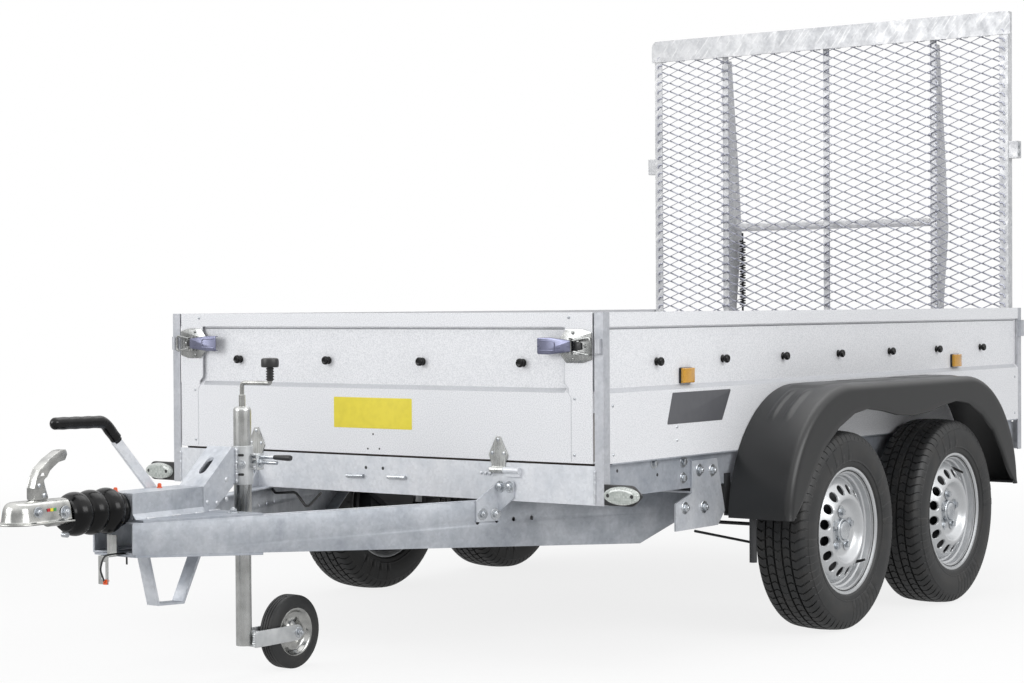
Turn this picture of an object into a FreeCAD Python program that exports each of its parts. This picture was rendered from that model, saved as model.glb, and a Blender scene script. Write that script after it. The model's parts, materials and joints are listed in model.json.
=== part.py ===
# Utility trailer: tandem axle, drop front panel, upright mesh loading ramp, overrun coupling.
# Frame: X forward to the coupling, Y to the trailer's left, Z up, millimetres.
# The origin lies on the ground, under the middle of the whole trailer's outline.
import FreeCAD, Part
import math
import os
import Sketcher
from FreeCAD import Placement, Rotation, Vector

DOC = FreeCAD.newDocument("utility_trailer")

# Driving dimensions, in millimetres unless the name says share, angle or count
SIZES = {
    # load box
    "box_width": 1620,
    "box_length": 2800,
    "box_top": 980,
    "panel_foot": 568,
    "sheet_wall": 3,
    "panel_recess": 11,
    "rim_height": 40,
    "rim_width": 26,
    "fold_top": 772,
    "fold_foot": 759,
    "post_width": 30,
    "post_wall": 4,
    "post_foot": 455,
    "moving_gap": 6,
    "seat_gap": 0.3,
    # floor and frame
    "floor_top": 570,
    "floor_thick": 15,
    "floor_inset": 27,
    "beam_foot": 471,
    "beam_inset": 20,
    "beam_flange": 45,
    "beam_wall": 4,
    "front_beam_depth": 42,
    "cross_height": 60,
    "cross_width": 40,
    "cross_member_count": 4,
    # drawbar
    "bar_nose_x": 1036,
    "bar_nose_y": 72,
    "bar_nose_top": 455,
    "bar_nose_foot": 374,
    "bar_angle": 20.2,
    "bar_level_run": 560,
    "bar_deep_run": 1600,
    "bar_deep_foot": 301,
    "bar_tail_run": 1807,
    "bar_tail_foot": 388,
    "bar_flange": 42,
    "bar_wall": 5,
    "bracket_wall": 6,
    "bracket_reach": 58,
    "bracket_top": 508,
    "bracket_flange_foot": 464,
    "bracket_fold_foot": 417,
    "bracket_foot": 398,
    "bracket_arm_reach": 76,
    "bracket_arm_top": 458,
    "bracket_side_foot": 352,
    "bracket_side_top": 431,
    "bracket_side_length": 273,
    "bracket_side_rear": 662,
    "bracket_side_bevel": 40,
    "bracket_neck_rear": 45,
    "bracket_neck_front": 185,
    "bracket_shelf_reach": 160,
    # coupling
    "nose_reach": 1400,
    "ball_reach": 1345,
    "ball_radius": 25.2,
    "coupler_axis": 486,
    "head_foot": 474,
    "head_rim": 4,
    "head_rim_lip": 12,
    "dome_foot_radius": 43,
    "head_wall_taper": 8,
    "head_crown_taper": 52,
    "head_no_taper": 0,
    "head_crown": 10,
    "head_seat": 50,
    "head_tail": 1206,
    "head_body_width": 72,
    "head_top": 530,
    "socket_depth": 44,
    "drawtube_radius": 24.5,
    "bellows_front": 1200,
    "bellows_rear": 1011,
    "bellows_radius": 59,
    "bellows_neck": 42,
    "bellows_collar": 27,
    "bellows_count": 3,
    "bellows_peak_share": 0.5,
    "housing_front": 1010,
    "housing_rear": 756,
    "housing_width": 92,
    "housing_top": 528,
    "housing_flare": 12,
    "housing_knee": 14,
    "housing_wall": 6,
    "plate_thick": 6,
    "plate_front": 1028,
    "upper_plate_front": 1008,
    "plate_rear": 690,
    "handle_width": 28,
    "handle_wall": 3,
    "handle_front": 1331,
    "handle_tip_x": 1198,
    "handle_top": 651,
    "handle_fold_share": 0.42,
    "lever_side": 56,
    "lever_thick": 8,
    "lever_width": 28,
    "lever_foot_x": 830,
    "lever_foot_z": 508,
    "lever_tip_x": 975,
    "lever_tip_z": 661,
    "grip_radius": 15,
    "grip_bend_x": 1016,
    "grip_tip_x": 1192,
    "grip_tip_z": 711,
    "grip_bend_radius": 40,
    # jockey wheel
    "jockey_x": 586,
    "jockey_y": 30,
    "jockey_tube": 24,
    "jockey_inner": 21.4,
    "tube_wall": 2.5,
    "tube_top": 733,
    "tube_foot": 400,
    "inner_top": 640,
    "inner_foot": 86,
    "jockey_radius": 102,
    "jockey_width": 50,
    "jockey_trail": 184,
    "jockey_rim_radius": 64,
    "jockey_tread_share": 0.7,
    "jockey_dish_share": 0.3,
    "fork_wall": 5,
    "fork_height": 44,
    "fork_gap": 5,
    "sleeve_wall": 5,
    "sleeve_foot": 522,
    "sleeve_top": 626,
    "fork_axle_radius": 6,
    "clamp_foot": 561,
    "clamp_block": 44,
    "clamp_reach": 23,
    "clamp_screw_radius": 5,
    "clamp_handle_reach": 101,
    "clamp_grip_radius": 8,
    "clamp_grip_length": 61,
    "clamp_bolt_reach": 112,
    "gusset_front": 752,
    "gusset_rear": 637,
    "gusset_toe": 715,
    "gusset_knee_z": 527,
    "gusset_width": 88,
    "gusset_wall": 5,
    "gusset_slot_length": 46,
    "gusset_slot_width": 24,
    "saddle_width": 20,
    "crank_radius": 6,
    "crank_collar_radius": 9,
    "crank_collar_height": 31,
    "crank_height": 796,
    "crank_reach": 102,
    "crank_bend_radius": 14,
    "crank_stem_radius": 11,
    "crank_knob_foot": 838,
    "crank_knob_top": 864,
    "crank_knob_radius": 24,
    # hoop, holder and cable
    "hoop_width": 40,
    "hoop_thick": 6,
    "hoop_front": 975,
    "hoop_front_knee": 925,
    "hoop_low_front": 884,
    "hoop_low_rear": 800,
    "hoop_rear_knee": 740,
    "hoop_rear": 692,
    "hoop_depth": 134,
    "holder_width": 34,
    "holder_foot": 300,
    "holder_drop": 5,
    "holder_rise": 54,
    "cable_radius": 2.5,
    # axles and wheels
    "axle_x": -1080,
    "axle_spacing": 756,
    "wheel_stand": 98,
    "tyre_radius": 306,
    "tyre_width": 182,
    "tyre_shoulder": 34,
    "tread_half": 60,
    "rim_radius": 178,
    "flange_radius": 195,
    "rim_half_width": 77,
    "rim_wall": 4,
    "disc_offset": 26,
    "hub_radius": 62,
    "hub_bore": 33,
    "disc_rise": 18,
    "torsion_lead": 150,
    "torsion_height": 404,
    "torsion_side": 84,
    "torsion_mount_width": 118,
    "arm_thick": 34,
    "arm_width": 60,
    "stub_radius": 32.95,
    "drum_radius": 118,
    "drum_gap": 8,
    "disc_thick": 6,
    "hub_stand": 14,
    # mudguards
    "guard_rear_gap": 2,
    "guard_half_length": 820,
    "guard_shift": 12,
    "guard_foot": 371,
    "guard_top": 758,
    "guard_arch_radius": 400,
    "guard_outer": 210,
    "guard_wall": 4,
    "guard_skirt": 77,
    "stay_width": 30,
    "stay_thick": 5,
    "stay_set": 31,
    "stay_tube_radius": 11,
    "stay_tube_length": 135,
    # lamps and reflectors
    "lamp_length": 119,
    "lamp_height": 57,
    "lamp_depth": 24,
    "lamp_axis": 486,
    "lamp_base": 8,
    "lamp_plate_reach": 89,
    "lamp_plate_height": 28,
    "tail_lamp_length": 150,
    "tail_lamp_height": 90,
    "tail_lamp_depth": 42,
    "tail_lamp_side": 560,
    "reflector_length": 66,
    "reflector_height": 46,
    "reflector_thick": 8,
    "reflector_front": 402,
    "reflector_rear_margin": 527,
    "reflector_axis": 797,
    # lashing knobs
    "knob_radius": 9,
    "knob_length": 19,
    "knob_height": 840,
    "side_knob_count": 7,
    "side_knob_first": 284,
    "side_knob_last": 344,
    "front_knob_count": 4,
    "front_knob_margin": 276,
    # front panel fittings
    "front_hinge_z": 541,
    "front_hinge_x": 9,
    "hinge_barrel_radius": 9,
    "hinge_y": 457,
    "leaf_width": 66,
    "leaf_height": 93,
    "leaf_thick": 4,
    "leaf_neck_share": 0.7,
    "leaf_shoulder_share": 0.45,
    "leaf_tip_share": 0.2,
    "barrel_length": 52,
    "end_plate_width": 91,
    "latch_axis": 888,
    "latch_height": 60,
    "latch_length": 168,
    "latch_depth": 26,
    "latch_wing_height": 92,
    "latch_wing_width": 66,
    "latch_grip_height": 46,
    "latch_waist_height": 32,
    "keeper_height": 40,
    "keeper_depth": 16,
    # ramp
    "ramp_margin": 35,
    "ramp_foot": 566,
    "ramp_top": 2083,
    "ramp_plate_height": 86,
    "ramp_plate_over": 11,
    "ramp_plate_wall": 5,
    "ramp_plate_round": 26,
    "ramp_angle_width": 34,
    "ramp_angle_wall": 4,
    "ramp_depth": 36,
    "ramp_setback": 2,
    "ramp_bar_width": 26,
    "ramp_beam_y": 458,
    "ramp_beam_width": 25,
    "ramp_beam_wall": 4,
    "beam_depth_top": 26,
    "beam_depth_mid": 102,
    "beam_depth_foot": 30,
    "beam_top_height": 1985,
    "cross_tube_set": 61,
    "cross_tube_radius": 14,
    "cross_tube_height": 1312,
    "mesh_wall": 5,
    "mesh_strand": 9,
    "mesh_columns_count": 6,
    "mesh_rows_count": 14,
    "lug_height": 63,
    "lug_axis": 1568,
    "lug_reach": 36,
    "ramp_hinge_z": 556,
    "ramp_hinge_set": 12,
    "ramp_hinge_y": 600,
    "ramp_barrel_radius": 10,
    "ramp_barrel_length": 42,
    "ramp_barrel_gap": 1,
    "ramp_pin_radius": 5,
    "pin_gap": 0.05,
    "ramp_latch_height": 60,
    "ramp_latch_axis": 905,
    "ramp_latch_depth": 12,
    "ramp_latch_length": 26,
}


class Dim:
    """A named size, or a sum of such sizes: its value in millimetres and its expression."""

    def __init__(self, value, text):
        self.value = float(value)
        self.text = text

    @staticmethod
    def of(thing):
        return thing if isinstance(thing, Dim) else Dim(thing, repr(thing))

    def __add__(self, other):
        other = Dim.of(other)
        return Dim(self.value + other.value, "(%s + %s)" % (self.text, other.text))

    def __sub__(self, other):
        other = Dim.of(other)
        return Dim(self.value - other.value, "(%s - %s)" % (self.text, other.text))

    def __mul__(self, other):
        other = Dim.of(other)
        return Dim(self.value * other.value, "(%s * %s)" % (self.text, other.text))

    def __truediv__(self, other):
        other = Dim.of(other)
        return Dim(self.value / other.value, "(%s / %s)" % (self.text, other.text))

    def __neg__(self):
        return Dim(0, "0") - self

    __rmul__ = __mul__


class Sizes:
    """The spreadsheet of driving dimensions, read as attributes that are Dims."""

    def __init__(self, table):
        self.sheet = DOC.addObject("Spreadsheet::Sheet", "Sizes")
        for row, (name, value) in enumerate(table.items(), start=1):
            self.sheet.set("A%d" % row, name)
            self.sheet.set("B%d" % row, str(value))
            self.sheet.setAlias("B%d" % row, name)
        DOC.recompute()
        for name in table:
            setattr(self, name, Dim(self.sheet.get(name), "Sizes." + name))


def sine(angle):
    return Dim(math.sin(math.radians(angle.value)), "sin(%s * 1 deg)" % angle.text)


def cosine(angle):
    return Dim(math.cos(math.radians(angle.value)), "cos(%s * 1 deg)" % angle.text)


def root(number):
    return Dim(math.sqrt(number.value), "sqrt(%s)" % number.text)


S = Sizes(SIZES)
ZERO = Dim(0, "0")
LEFT, RIGHT = 1, -1
KNOB_SIDES = 8

# Outline shares, each pair of the outline's length and height, or depth and height
HANDLE_SHARES = (
    (0.49, 0), (1, 0), (1, 0.25), (0.96, 0.5), (0.83, 0.65), (0.53, 0.86), (0.15, 1), (0, 0.93),
    (0, 0.8), (0.18, 0.74), (0.34, 0.58), (0.53, 0.5), (0.55, 0.4), (0.49, 0.2),
)
LIP_SHARES = (
    (0.975, 0), (0.91, 0.27), (0.8, 0.6), (0.68, 0.83), (0.52, 0.98), (0.4, 1), (0.25, 0.93),
    (0.1, 0.885),
)
BELLY_SHARES = ((0.75, 0.7), (1, 0.51), (0.59, 0.31))

# Places along X are counted from the load box's front face
rear_reach = S.box_length + S.ramp_setback + S.beam_depth_mid
FRONT = (rear_reach - S.nose_reach) / 2
BACK = FRONT - S.box_length
HALF = S.box_width / 2
TRACK = HALF + S.wheel_stand
RAMP_HALF = HALF - S.ramp_margin

AXIS_TURN = {
    "X": Rotation(Vector(0, 1, 0), 90),
    "Y": Rotation(Vector(1, 0, 0), -90),
    "Z": Rotation(),
}
SUB_PARTS = []


def bind(item, prop, size):
    """Tie one property of an object to a size."""
    item.setExpression(prop, size.text)


def place(item, x=ZERO, y=ZERO, z=ZERO, turn=None):
    """Give an object its placement, with its base tied to sizes."""
    item.Placement = Placement(Vector(x.value, y.value, z.value), turn or Rotation())
    for axis, size in zip("xyz", (x, y, z)):
        bind(item, "Placement.Base." + axis, size)
    return item


def sub_part(item, name):
    """Name an object as one of the trailer's pieces."""
    item.Label = name
    SUB_PARTS.append(item)
    return item


def block(name, x, y, z):
    """Box between pairs of low and high places."""
    item = DOC.addObject("Part::Box", name)
    for prop, (low, high) in zip(("Length", "Width", "Height"), (x, y, z)):
        bind(item, prop, high - low)
    return place(item, x[0], y[0], z[0])


def rod(name, radius, length, x, y, z, axis="Z"):
    """Cylinder that starts at a point and runs along a positive axis."""
    item = DOC.addObject("Part::Cylinder", name)
    bind(item, "Radius", radius)
    bind(item, "Height", length)
    return place(item, x, y, z, AXIS_TURN[axis])


def join(name, items):
    item = DOC.addObject("Part::MultiFuse", name)
    item.Shapes = items
    return item


def cut(name, base, tool):
    item = DOC.addObject("Part::Cut", name)
    item.Base = base
    item.Tool = tool
    return item


def group(name, items):
    """Several solids that don't touch, as one piece."""
    item = DOC.addObject("Part::Compound", name)
    item.Links = items
    return item


def mirror(name, source):
    """The same piece on the trailer's other side."""
    item = DOC.addObject("Part::Mirroring", name)
    item.Source = source
    item.Normal = Vector(0, 1, 0)
    item.Base = Vector(0, 0, 0)
    return item


def both_sides(name, source):
    """One piece made of a left solid and its mirror image."""
    return group(name, [source, mirror(name + "_mirror", source)])


def new_sketch(body, plane, name, offset=None):
    """Sketch on one of the body's own origin planes, offset along the plane's normal."""
    sketch = body.newObject("Sketcher::SketchObject", name)
    support = [item for item in body.Origin.OriginFeatures if item.Role == plane]
    sketch.AttachmentSupport = [(support[0], "")]
    sketch.MapMode = "FlatFace"
    if offset is not None:
        bind(sketch, "AttachmentOffset.Base.z", offset)
    return sketch


def tie(sketch, kind, geometry, point, size):
    """Tie one coordinate of a sketch point to a size."""
    row = sketch.addConstraint(Sketcher.Constraint(kind, -1, 1, geometry, point, size.value))
    sketch.setExpression("Constraints[%d]" % row, size.text)


def outline(sketch, points):
    """Closed outline. Each point is (x, y), reached by a line, or (x, y, centre x, centre y, turn),
    reached by an arc whose turn is 1 when it runs anticlockwise."""
    count = len(points)
    ends = []
    for index, point in enumerate(points):
        start = points[index - 1]
        first = Vector(start[0].value, start[1].value, 0)
        last = Vector(point[0].value, point[1].value, 0)
        if len(point) == 2:
            row = sketch.addGeometry(Part.LineSegment(first, last), False)
            ends.append((row, 1, 2))
            continue
        centre = Vector(point[2].value, point[3].value, 0)
        turn = point[4]
        low, high = (first, last) if turn > 0 else (last, first)
        angles = [math.atan2(end.y - centre.y, end.x - centre.x) for end in (low, high)]
        circle = Part.Circle(centre, Vector(0, 0, 1), (first - centre).Length)
        row = sketch.addGeometry(Part.ArcOfCircle(circle, angles[0], angles[1]), False)
        ends.append((row, 1, 2) if turn > 0 else (row, 2, 1))
    for index in range(count):
        row, _, last = ends[index]
        after, first, _ = ends[(index + 1) % count]
        sketch.addConstraint(Sketcher.Constraint("Coincident", row, last, after, first))
    for index, point in enumerate(points):
        row, _, last = ends[index]
        if len(point) == 2:
            tie(sketch, "DistanceX", row, last, point[0])
            tie(sketch, "DistanceY", row, last, point[1])
            continue
        tie(sketch, "DistanceX", row, 3, point[2])
        tie(sketch, "DistanceY", row, 3, point[3])
        across = abs(point[0].value - point[2].value)
        along = abs(point[1].value - point[3].value)
        if along > across:
            tie(sketch, "DistanceX", row, last, point[0])
        else:
            tie(sketch, "DistanceY", row, last, point[1])


def circle_at(sketch, x, y, radius):
    """Circle with its centre and radius tied to sizes."""
    row = sketch.addGeometry(
        Part.Circle(Vector(x.value, y.value, 0), Vector(0, 0, 1), radius.value), False)
    tie(sketch, "DistanceX", row, 3, x)
    tie(sketch, "DistanceY", row, 3, y)
    size = sketch.addConstraint(Sketcher.Constraint("Radius", row, radius.value))
    sketch.setExpression("Constraints[%d]" % size, radius.text)


def new_body(name):
    return DOC.addObject("PartDesign::Body", name)


def pad(body, plane, points, depth, offset=None, centred=False, back=False):
    """Pad a closed outline; the XZ plane's pad grows towards minus Y unless it is turned back."""
    name = "%s_pad%d" % (body.Name, len(body.Group))
    sketch = new_sketch(body, plane, name + "_sketch", offset)
    outline(sketch, points)
    feature = body.newObject("PartDesign::Pad", name)
    feature.Profile = sketch
    bind(feature, "Length", depth)
    feature.Midplane = centred
    feature.Reversed = back
    body.Tip = feature
    return feature


def pocket(body, plane, outlines, depth, offset=None, back=False, circles=()):
    """Cut closed outlines out of the body, against the plane's normal unless it is turned back."""
    name = "%s_cut%d" % (body.Name, len(body.Group))
    sketch = new_sketch(body, plane, name + "_sketch", offset)
    for points in outlines:
        outline(sketch, points)
    for x, y, radius in circles:
        circle_at(sketch, x, y, radius)
    feature = body.newObject("PartDesign::Pocket", name)
    feature.Profile = sketch
    bind(feature, "Length", depth)
    feature.Reversed = back
    body.Tip = feature
    CUTS.append(feature)
    return feature


def revolve(body, points):
    """Turn a closed (radius, height) outline about the body's Z axis."""
    name = body.Name + "_revolve"
    sketch = new_sketch(body, "XZ_Plane", name + "_sketch")
    outline(sketch, points)
    feature = body.newObject("PartDesign::Revolution", name)
    feature.Profile = sketch
    feature.ReferenceAxis = (sketch, ["V_Axis"])
    feature.Angle = 360
    body.Tip = feature
    return feature


CUTS = []


# Load box

def sheet_profile(face):
    """Section of a folded panel: (inward place, height), with its outer face at a given place."""
    inner = face - S.sheet_wall
    recess = face - S.panel_recess
    lip = face - S.rim_width
    rim_foot = S.box_top - S.rim_height
    wall = S.sheet_wall
    return [
        (face, S.panel_foot), (face, S.fold_foot), (recess, S.fold_top), (recess, rim_foot),
        (face, rim_foot), (face, S.box_top), (lip, S.box_top), (lip, rim_foot),
        (lip + wall, rim_foot), (lip + wall, S.box_top - wall), (inner, S.box_top - wall),
        (inner, rim_foot + wall), (recess - wall, rim_foot + wall), (recess - wall, S.fold_top),
        (inner, S.fold_foot), (inner, S.panel_foot + wall), (lip, S.panel_foot + wall),
        (lip, S.panel_foot),
    ]


def side_panels():
    body = new_body("side_panel_left")
    length = S.box_length - S.post_width * 2
    pad(body, "YZ_Plane", sheet_profile(HALF), length)
    place(body, BACK + S.post_width, ZERO, ZERO)
    sub_part(body, "side_panel_left")
    sub_part(mirror("side_panel_right", body), "side_panel_right")


def corner_post(name, x_low, sign):
    """L section post of the left side; sign is 1 where its cross face looks forward."""
    body = new_body(name)
    size = S.post_width
    wall = S.post_wall
    if sign > 0:
        points = [(ZERO, HALF), (ZERO, HALF - wall), (size - wall, HALF - wall),
                  (size - wall, HALF - size), (size, HALF - size), (size, HALF)]
    else:
        points = [(size, HALF), (ZERO, HALF), (ZERO, HALF - size), (wall, HALF - size),
                  (wall, HALF - wall), (size, HALF - wall)]
    pad(body, "XY_Plane", points, S.box_top - S.post_foot)
    return place(body, x_low, ZERO, S.post_foot)


def corner_posts():
    front = corner_post("post_front_profile", FRONT - S.post_width, 1)
    middle = HALF - S.post_width / 2
    roll = S.keeper_depth / 2
    keeper = rod("latch_keeper", roll, S.keeper_height, FRONT + roll, middle,
                 S.latch_axis - S.keeper_height / 2)
    tail = block("latch_keeper_foot", (FRONT - S.post_wall, FRONT + roll), (middle - roll, middle + roll),
                 (S.latch_axis - S.keeper_height / 2, S.latch_axis + S.keeper_height / 2))
    lamp_plate = block("lamp_plate", (FRONT - S.lamp_base - S.post_wall, FRONT - S.lamp_base),
                       (HALF - S.post_wall, HALF + S.lamp_plate_reach),
                       (S.lamp_axis - S.lamp_plate_height / 2, S.lamp_axis + S.lamp_plate_height / 2))
    front = join("post_front_left", [front, keeper, tail, lamp_plate])
    rear = corner_post("post_rear_profile", BACK, -1)
    latch = block("ramp_latch", (BACK, BACK + S.ramp_latch_length),
                  (HALF, HALF + S.ramp_latch_depth),
                  (S.ramp_latch_axis - S.ramp_latch_height / 2,
                   S.ramp_latch_axis + S.ramp_latch_height / 2))
    rear = join("post_rear_left", [rear, latch])
    sub_part(both_sides("front_posts", front), "front_posts")
    sub_part(both_sides("rear_posts", rear), "rear_posts")


def floor_board():
    edge = HALF - S.floor_inset
    item = block("floor_board", (BACK + S.front_beam_depth, FRONT - S.front_beam_depth),
                 (-edge, edge), (S.floor_top - S.floor_thick, S.floor_top))
    sub_part(item, "floor_board")


# Frame under the floor

def channel(x_low, width, height, wall, opening):
    """C section (across, up) with its web at x_low side and its opening towards opening."""
    far = x_low + width * opening
    web = x_low + wall * opening
    foot, top = height
    return [(x_low, foot), (far, foot), (far, foot + wall), (web, foot + wall),
            (web, top - wall), (far, top - wall), (far, top), (x_low, top)]


def side_beams():
    """Channels whose top turns outward into the ledge that carries the side panels."""
    body = new_body("side_beam_left")
    under_floor = S.floor_top - S.floor_thick
    face = HALF - S.beam_inset
    web = face - S.beam_wall
    tip = face - S.beam_flange
    ledge = HALF - S.rim_width
    wall = S.beam_wall
    points = [
        (face, S.beam_foot), (face, S.panel_foot - wall), (HALF, S.panel_foot - wall),
        (HALF, S.panel_foot), (ledge, S.panel_foot), (ledge, under_floor), (tip, under_floor),
        (tip, under_floor - wall), (web, under_floor - wall), (web, S.beam_foot + wall),
        (tip, S.beam_foot + wall), (tip, S.beam_foot),
    ]
    pad(body, "YZ_Plane", points, S.box_length - S.front_beam_depth * 2)
    place(body, BACK + S.front_beam_depth)
    sub_part(body, "side_beam_left")
    sub_part(mirror("side_beam_right", body), "side_beam_right")


def leaf_neck_share():
    """Half the hinge leaf's narrow foot, as a share of the leaf's width."""
    return S.leaf_neck_share / 2


def end_beams():
    under_floor = S.floor_top - S.floor_thick
    edge = HALF - S.post_width
    lip = S.panel_foot - S.moving_gap - under_floor
    front = new_body("front_beam_channel")
    points = channel(S.front_beam_depth, S.front_beam_depth, (ZERO, under_floor - S.post_foot),
                     S.beam_wall, -1)
    points = points[:-1] + [(S.front_beam_depth - S.beam_wall, under_floor - S.post_foot),
                            (S.front_beam_depth - S.beam_wall, under_floor - S.post_foot + lip),
                            (S.front_beam_depth, under_floor - S.post_foot + lip)]
    pad(front, "XZ_Plane", points, edge * 2)
    place(front, FRONT - S.front_beam_depth, edge, S.post_foot)
    pieces = [front]
    for side in (LEFT, RIGHT):
        tag = "left" if side > 0 else "right"
        inner = (S.hinge_y + S.leaf_width * leaf_neck_share() + S.ramp_barrel_gap) * side
        low = inner if side > 0 else inner - S.barrel_length
        barrel = rod("front_knuckle_" + tag, S.hinge_barrel_radius, S.barrel_length,
                     FRONT + S.front_hinge_x + S.seat_gap, low, S.front_hinge_z, "Y")
        foot = block("front_knuckle_foot_" + tag, (FRONT, FRONT + S.front_hinge_x),
                     (low, low + S.barrel_length),
                     (S.front_hinge_z - S.hinge_barrel_radius * 2, S.front_hinge_z))
        pieces += [barrel, foot]
    sub_part(join("front_beam", pieces), "front_beam")

    rear = new_body("rear_beam_channel")
    pad(rear, "XZ_Plane", channel(ZERO, S.front_beam_depth, (ZERO, under_floor - S.post_foot),
                                  S.beam_wall, 1), edge * 2)
    place(rear, BACK, edge, S.post_foot)
    pieces = [rear]
    axis_x = BACK - S.ramp_hinge_set
    for side in (LEFT, RIGHT):
        y = S.ramp_hinge_y * side - S.ramp_barrel_length / 2
        name = "ramp_knuckle_%s" % ("left" if side > 0 else "right")
        barrel = rod(name, S.ramp_barrel_radius, S.ramp_barrel_length, axis_x, y,
                     S.ramp_hinge_z, "Y")
        web = block(name + "_web", (axis_x, BACK + S.beam_wall), (y, y + S.ramp_barrel_length),
                    (S.ramp_hinge_z - S.ramp_barrel_radius * 2, S.ramp_hinge_z -
                     S.ramp_barrel_radius / 2))
        length = S.ramp_barrel_length * 2 + S.ramp_barrel_gap
        start = y - (length - S.ramp_barrel_length) if side > 0 else y
        pin = rod(name + "_pin", S.ramp_pin_radius, length, axis_x, start, S.ramp_hinge_z, "Y")
        pieces += [barrel, web, pin]
    sub_part(join("rear_beam", pieces), "rear_beam")


def cross_members():
    """Channels across the frame, evenly spaced under the floor."""
    under_floor = S.floor_top - S.floor_thick
    edge = HALF - S.beam_inset - S.beam_flange
    members = []
    count = int(S.cross_member_count.value)
    span = S.box_length - S.front_beam_depth * 2
    for index in range(count):
        centre = FRONT - S.front_beam_depth - span * ((index + 1) / (count + 1))
        member = new_body("cross_member_%d" % (index + 1))
        pad(member, "XZ_Plane", channel(ZERO, S.cross_width, (ZERO, S.cross_height), S.beam_wall, 1),
            edge * 2)
        place(member, centre - S.cross_width / 2, edge, under_floor - S.cross_height)
        members.append(member)
    sub_part(group("cross_members", members), "cross_members")


# Drawbar

def bar_outline(inset):
    """Side outline of a drawbar member; the run along the member is counted rearward."""
    slope = inset
    return [
        (-inset, S.bar_nose_foot + slope),
        (-inset, S.bar_nose_top - slope),
        (-S.bar_level_run, S.post_foot - slope),
        (-S.bar_tail_run + inset, S.post_foot - slope),
        (-S.bar_tail_run + inset, S.bar_tail_foot + slope),
        (-S.bar_deep_run, S.bar_deep_foot + slope),
    ]


def drawbars():
    body = new_body("drawbar_left")
    pad(body, "XZ_Plane", bar_outline(ZERO), S.bar_flange)
    pocket(body, "XZ_Plane", [bar_outline(S.bar_wall)], S.bar_flange, S.bar_wall, back=True)
    place(body, FRONT + S.bar_nose_x, S.bar_nose_y, ZERO,
          Rotation(Vector(0, 0, 1), -S.bar_angle.value))
    bind(body, "Placement.Rotation.Angle", -S.bar_angle)
    sub_part(body, "drawbar_left")
    sub_part(mirror("drawbar_right", body), "drawbar_right")


def drawbar_brackets():
    """Folded brackets that bolt the drawbar members to the front beam and the side beams."""
    slope = sine(S.bar_angle) / cosine(S.bar_angle)
    fold = S.bar_nose_y + S.bar_nose_x * slope
    wall = S.bracket_wall
    face = new_body("bracket_front_face")
    pad(face, "YZ_Plane",
        [(fold, S.bracket_fold_foot), (fold + S.bracket_reach, S.bracket_flange_foot),
         (fold + S.bracket_reach, S.bracket_top), (fold, S.bracket_top)], wall)
    place(face, FRONT)
    arm = new_body("bracket_front_arm")
    pad(arm, "XZ_Plane",
        [(ZERO, S.bracket_foot), (S.bracket_arm_reach, S.bracket_foot),
         (S.bracket_arm_reach, S.bracket_arm_top), (ZERO, S.bracket_top)],
        wall, back=True)
    place(arm, FRONT, fold, ZERO, Rotation(Vector(0, 0, 1), -S.bar_angle.value))
    bind(arm, "Placement.Rotation.Angle", -S.bar_angle)
    front = join("bracket_front_left", [face, arm])
    plate = new_body("bracket_side_plate")
    under_floor = S.floor_top - S.floor_thick
    beam_face = HALF - S.beam_inset
    length = S.bracket_side_length
    pad(plate, "XZ_Plane",
        [(ZERO, S.bracket_side_foot + S.bracket_side_bevel), (S.bracket_side_bevel, S.bracket_side_foot),
         (length, S.bracket_side_foot), (length, S.bracket_side_top), (S.bracket_neck_front, S.post_foot),
         (S.bracket_neck_front, under_floor - wall), (S.bracket_neck_rear, under_floor - wall)],
        wall, back=True)
    place(plate, FRONT - S.bracket_side_rear, beam_face)
    shelf = block("bracket_side_shelf",
                  (FRONT - S.bracket_side_rear + S.bracket_neck_rear,
                   FRONT - S.bracket_side_rear + S.bracket_neck_front),
                  (beam_face - S.bracket_shelf_reach, beam_face), (S.post_foot, S.post_foot + wall))
    side = join("bracket_side_left", [plate, shelf])
    sub_part(both_sides("drawbar_brackets", group("bracket_pair_left", [front, side])),
             "drawbar_brackets")


def coupling_plates():
    """Plates over and under the drawbar's nose that carry the coupling housing and the hoop."""
    slope = sine(S.bar_angle) / cosine(S.bar_angle)

    def plate(name, front, rear):
        """Trapezoid whose sides follow the drawbar members."""
        front_half = S.bar_nose_y + (S.bar_nose_x - front) * slope
        rear_half = S.bar_nose_y + (S.bar_nose_x - rear) * slope
        body = new_body(name)
        back = S.bar_nose_x - rear
        ahead = S.bar_nose_x - front
        pad(body, "XY_Plane", [(-back, -rear_half), (-ahead, -front_half), (-ahead, front_half),
                               (-back, rear_half)], S.plate_thick)
        return body
    upper = plate("coupling_plate_upper", S.upper_plate_front, S.plate_rear)
    place(upper, FRONT + S.bar_nose_x, ZERO, S.post_foot)
    lower = plate("coupling_plate_lower", S.plate_front, S.plate_rear)
    tilt_under_bars(lower, FRONT + S.bar_nose_x, -S.plate_thick)
    sub_part(group("coupling_plates", [upper, lower]), "coupling_plates")


def tilt_under_bars(item, x, drop):
    """Lay an item built along X under the drawbar's sloping foot, a little above or below it."""
    fall = (S.bar_nose_foot - S.bar_deep_foot) / S.bar_deep_run / cosine(S.bar_angle)
    angle = Dim(math.degrees(math.atan(fall.value)), "atan(%s)" % fall.text)
    place(item, x - drop * fall, ZERO, S.bar_nose_foot + drop,
          Rotation(Vector(0, -1, 0), angle.value))
    bind(item, "Placement.Rotation.Angle", angle)


# Overrun coupling

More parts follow.
